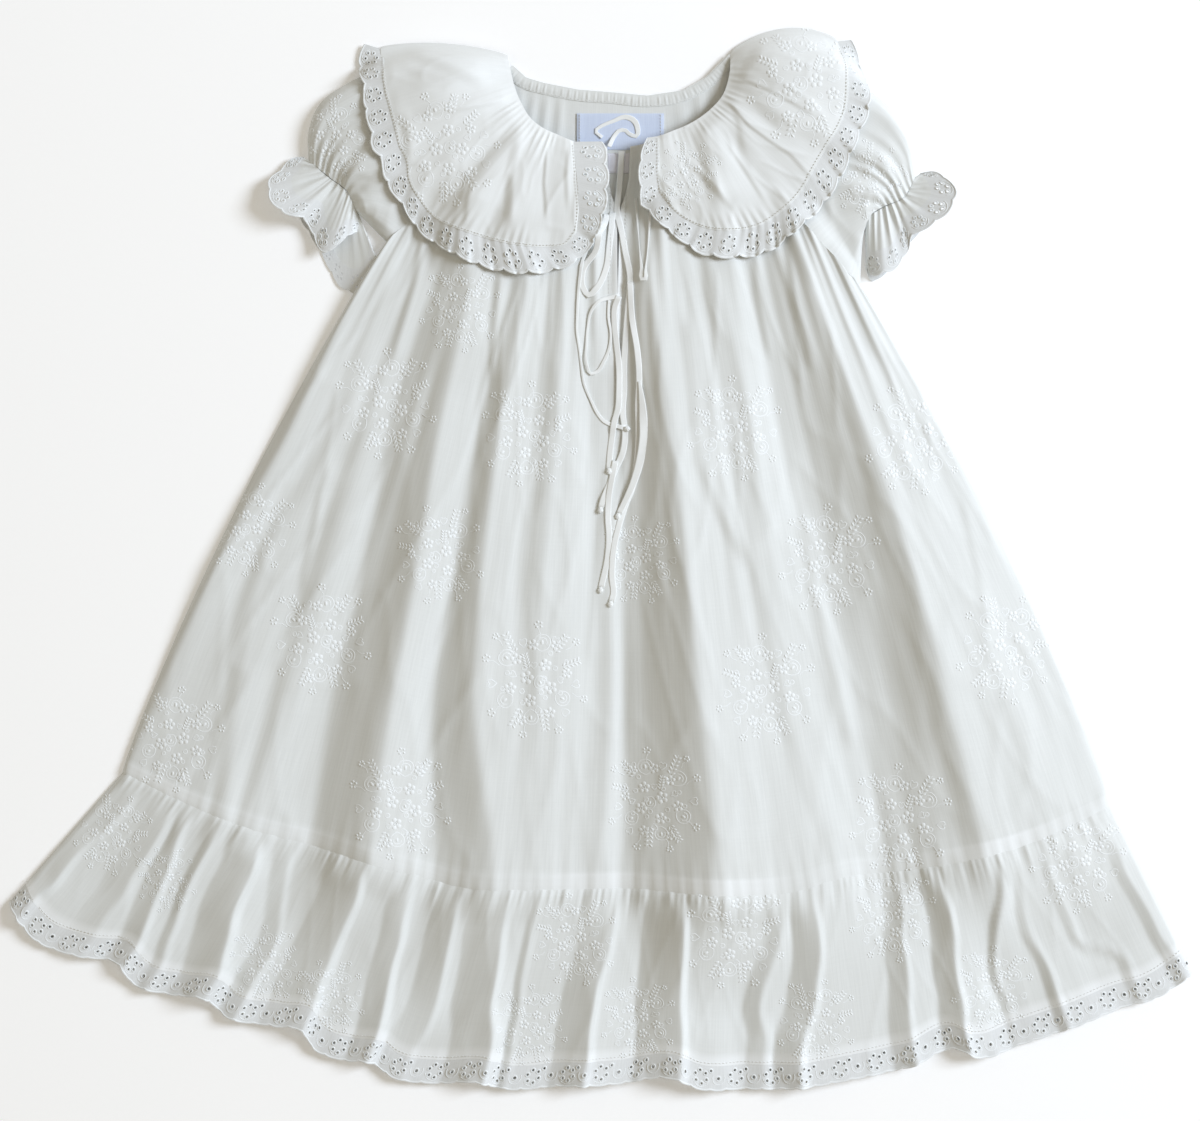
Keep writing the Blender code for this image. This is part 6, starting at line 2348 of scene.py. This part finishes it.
@dataclass
class Spray:
    """One spray of white embroidery, a common garden posy of the maker's own drawing.

    Each motif's rows are x, y from the spray's middle and its size, all mm, and its turn in degrees.
    """

    flowers: tuple = (
        (-4, 2, 5.6, 0), (6, 8, 5.2, 20), (8, -4, 5.4, 40), (-13, -3, 5.0, 10), (-3, -10, 5.2, 30),
        (0, 19, 4.6, 0),
        (-9, 12, 4.8, 25), (12, 18, 4.2, 50), (7, -17, 4.6, 15), (-8, -20, 4.2, 45), (17, 3, 4.2, 0),
    )
    fans: tuple = (
        (-14, 13, 9.0, 42), (5, 20, 9.0, -8), (14, -10, 8.0, -118), (-16, -9, 8.5, 118), (3, -1, 7.0, 200),
        (-3, -19, 8.0, 176),
    )
    hearts: tuple = (
        (12, 20, 4.6, -25), (-5, 20, 4.6, 12), (21, -3, 4.4, -80), (-22, 0, 4.6, 90), (1, -15, 4.0, 180),
        (0, 8, 3.6, 0), (15, -17, 4.2, 215), (-11, 4, 3.6, 60), (13, 0, 3.6, 250),
    )
    columns: tuple = (
        (-12, 21, 12.0, 24), (15, 19, 11.0, -38), (4, -21, 12.0, 186), (-11, -19, 11.0, 150),
        (20, 8, 10.0, -72),
        (-4, 11, 8.0, 12),
    )
    sprigs: tuple = (
        (3, 26, 9.0, 8), (20, 18, 8.0, -48), (-22, 11, 9.0, 66), (23, -9, 8.0, -112), (-20, -14, 9.0, 128),
        (11, -23, 9.0, 204), (-6, -25, 8.0, 168), (-18, 22, 7.0, 40),
    )
    rings: tuple = (
        (5, 1, 1.3, 0), (-7, -5, 1.3, 0), (11, 6, 1.2, 0), (-5, 7, 1.2, 0), (3, -6, 1.3, 0), (-14, 5, 1.2, 0),
        (13, -7, 1.2, 0), (-7, -11, 1.2, 0), (9, 14, 1.2, 0), (17, 9, 1.1, 0), (-17, -3, 1.1, 0),
        (5, -9, 1.1, 0),
    )
    line: float = 0.36  # half the width of a stitched line, mm
    height: float = 0.16

    @staticmethod
    def at(points: Sequence, x: float, y: float, size: float, turn: float) -> Array:
        """Points of a unit shape, sized, turned by degrees and moved."""
        u, v = np.asarray(points, float).T * size
        return turned(u, v, math.radians(turn), x, y)

    def flower(self, work: Work, x: float, y: float, size: float, turn: float) -> None:
        """Five padded petals round a small open ring."""
        for k in range(5):
            a = math.radians(turn) + k * math.tau / 5
            u, v = x + 0.43 * size * math.cos(a), y + 0.43 * size * math.sin(a)
            work.pad(u, v, a, 0.50 * size, 0.52 * size, self.height, 7)
        work.ring(x, y, 0.17 * size, self.line * 0.7, self.height * 1.7, 7)

    def fan(self, work: Work, x: float, y: float, size: float, turn: float) -> None:
        """A tulip petal of outlines one inside another."""
        shape = ((0, 0), (0.34, 0.22), (0.48, 0.6), (0.28, 0.94), (0, 1), (-0.28, 0.94), (-0.48, 0.6),
                 (-0.34, 0.22), (0, 0))
        outline = path(shape, np.linspace(0, 1, 17))[:-1]
        work.cord(self.at(outline - (0, 0.55), x, y, size, turn), self.line, self.height, True)
        work.cord(self.at((outline - (0, 0.55)) * 0.58, x, y, size, turn)[3:13], self.line, self.height)
        work.pad(x, y, math.radians(turn + 90), 0.34 * size, 0.2 * size, self.height, 7)

    def heart(self, work: Work, x: float, y: float, size: float, turn: float) -> None:
        """A heart's outline."""
        shape = ((0, -0.5), (0.42, 0.0), (0.46, 0.36), (0.22, 0.5), (0, 0.28), (-0.22, 0.5), (-0.46, 0.36),
                 (-0.42, 0.0))
        work.cord(self.at(shape, x, y, size, turn), self.line, self.height, True)

    def column(self, work: Work, x: float, y: float, size: float, turn: float) -> None:
        """A stem with leaves in pairs."""
        stem = self.at(((0, -0.5), (0.03, 0.0), (0, 0.5)), x, y, size, turn)
        work.cord(stem, self.line * 0.7, self.height * 0.8)
        for k in range(5):
            for side in (-1, 1):
                (u, v), = self.at([(side * 0.11, -0.42 + 0.2 * k)], x, y, size, turn)
                work.pad(u, v, math.radians(turn + 90 - side * 52), 2.7, 1.25, self.height, 5)

    def sprig(self, work: Work, x: float, y: float, size: float, turn: float) -> None:
        """A curled stem with five beads at its tip."""
        stem = self.at(((0, -0.5), (0.13, -0.15), (0.05, 0.12), (0.12, 0.3)), x, y, size, turn)
        work.cord(stem, self.line * 0.7, self.height * 0.8)
        beads = ((0.12, 0.52), (-0.06, 0.42), (0.3, 0.42), (0.0, 0.24), (0.26, 0.22))
        for u, v in self.at(beads, x, y, size, turn):
            work.pad(u, v, 0.0, 1.5, 1.5, self.height * 1.2, 5)

    def ring(self, work: Work, x: float, y: float, size: float, turn: float) -> None:
        """A small open ring, the same at any turn."""
        work.ring(x, y, size, self.line, self.height, 7)

    def work(self) -> Work:
        """The spray in the flat."""
        work = Work()
        for rows, draw in ((self.flowers, self.flower), (self.fans, self.fan), (self.hearts, self.heart),
                           (self.columns, self.column), (self.sprigs, self.sprig), (self.rings, self.ring)):
            for row in rows:
                draw(work, *row)
        return work


@dataclass
class Embroidery:
    """Sprays laid over the cloth."""

    bench: Bench
    foot: float = 0.04  # mm from the cloth to the thread's level 0

    def lay(self, name: str, sprays: Sequence, tree: BVHTree, down: bool = True,
            wall: float = 0.0) -> bpy.types.Object:
        """Lays sprays on cloth.

        Args:
            name: the object's name.
            sprays: x, y, turn in degrees, size and mirrored of each.
            tree: the cloth that they are sewn on.
            down: True on the upper side, False underneath.
            wall: the cloth's thickness, where they are underneath.

        Returns:
            The object.
        """
        flat, way = Spray().work(), 1 if down else -1
        shape = flat.array()
        points, kept = [], []
        for number, (x, y, turn, size, mirrored) in enumerate(sprays):
            u, v = shape[:, 0] * size * (-1 if mirrored else 1), shape[:, 1] * size
            plan = turned(u, v, math.radians(turn), x, y)
            z = dropped(plan, tree, down)
            whole = ~np.isnan(z)
            points.append(raised(plan, np.nan_to_num(z + way * (shape[:, 2] + self.foot) - wall)))
            order, count = -1 if bool(mirrored) != (not down) else 1, number * len(shape)
            kept += [[v + count for v in face[::order]] for face in flat.faces if whole[face].all()]
        made = mesh_object(name, placed(np.concatenate(points)), kept, self.bench.dress(Finish.SATIN_STITCH))
        return self.bench.keep(mend(made, closed=False), Slot.VOILE)


@dataclass
class Studio:
    """A pale floor, soft light from the upper right, and a camera looking straight down."""

    view_width: float = 660.0  # mm across the picture, at the cloth
    middle: tuple[float, float] = (-1.1, -0.7)
    lens: float = 85.0
    sensor: float = 36.0
    cloth_level: float = 10.0
    floor_half: float = 12.0  # m
    floor_z: float = -0.0002
    window_at: tuple[float, float, float] = (3.1, 1.0, 2.45)  # m
    window_size: float = 1.75
    window_power: float = 157.0  # W
    window_colour: tuple[float, float, float] = (0.79, 0.872, 1.0)
    room_colour: tuple[float, float, float, float] = (1.0, 0.91, 0.74, 1)
    room_strength: float = 0.395

    def camera(self) -> None:
        """The camera."""
        data = bpy.data.cameras.new("camera")
        data.lens, data.sensor_width = self.lens, self.sensor
        data.clip_start, data.clip_end = 0.01, 20.0
        made = shown("camera", data)
        far = self.view_width / self.sensor * self.lens + self.cloth_level
        made.location = (self.middle[0] * MM, self.middle[1] * MM, far * MM)
        bpy.context.scene.camera = made

    def floor(self) -> None:
        """A pale floor that isn't part of the garment."""
        corners = np.array([(-1, -1), (1, -1), (1, 1), (-1, 1)]) * self.floor_half
        material = Finish.FLOOR.value.made()
        mesh_object("floor", raised(corners, self.floor_z), [(0, 1, 2, 3)], material)

    def light(self) -> None:
        """A large cool window-like light from the upper right, and warm light from all round."""
        data = bpy.data.lights.new("window", "AREA")
        data.energy, data.color = self.window_power, self.window_colour
        data.shape, data.size = "DISK", self.window_size
        made = shown("window", data)
        made.location = self.window_at
        made.rotation_euler = Vector(self.window_at).to_track_quat("Z", "Y").to_euler()
        world = bpy.data.worlds.new("room")
        world.use_nodes = True
        shade = world.node_tree.nodes["Background"]
        shade.inputs["Color"].default_value = self.room_colour
        shade.inputs["Strength"].default_value = self.room_strength
        bpy.context.scene.world = world
        bpy.context.scene.view_settings.view_transform = "Standard"

    def build(self) -> None:
        """Sets up all of it."""
        self.camera()
        self.floor()
        self.light()


def report(part: str, pieces: Sequence[bpy.types.Object]) -> None:
    """Reports the pieces of one part."""
    log.info("%s: %s", part, ", ".join(piece.name for piece in pieces))


def main() -> None:
    """Builds the garment from what lies lowest to what lies on top, and reports each piece."""
    logging.basicConfig(level=logging.INFO, format="%(message)s")
    Studio().build()
    bench = Bench(Dresser(), Repeater(), Relief())
    lay = Embroidery(bench).lay
    report("collar's back part", BackCollar(bench).build())
    back, front = Back(bench), Front(bench)
    report("back", back.build())
    report("neckline", Neckline(bench).build())
    report("front", [*front.build(), *front.sew()])
    report("sprays", [
        lay("front_panel_sprays", SPRAYS_FRONT, front.panel.tree()),
        lay("front_frill_sprays", SPRAYS_FRILL, front.frill.tree()),
        lay("back_sprays", SPRAYS_BACK, back.panel.tree(), down=False, wall=WALL),
    ])
    for side in Side:
        sleeve = Sleeve(bench, side)
        pieces = sleeve.build()
        sprays = lay(f"sleeve_{side.value}_sprays", sleeve.arm.sprays, sleeve.cloth.tree())
        report(f"{side.value} sleeve", [*pieces, sprays])
    below = bench.relief.over(1, 1)
    for side in Side:
        collar = Collar(bench, side)
        pieces = collar.build()
        sprays = lay(f"collar_{side.value}_sprays", collar.half.sprays, collar.cloth.tree())
        report(f"{side.value} half of the collar", [*pieces, sprays])
    report("ties", Ties(bench, below).build())


if __name__ == "__main__":
    main()
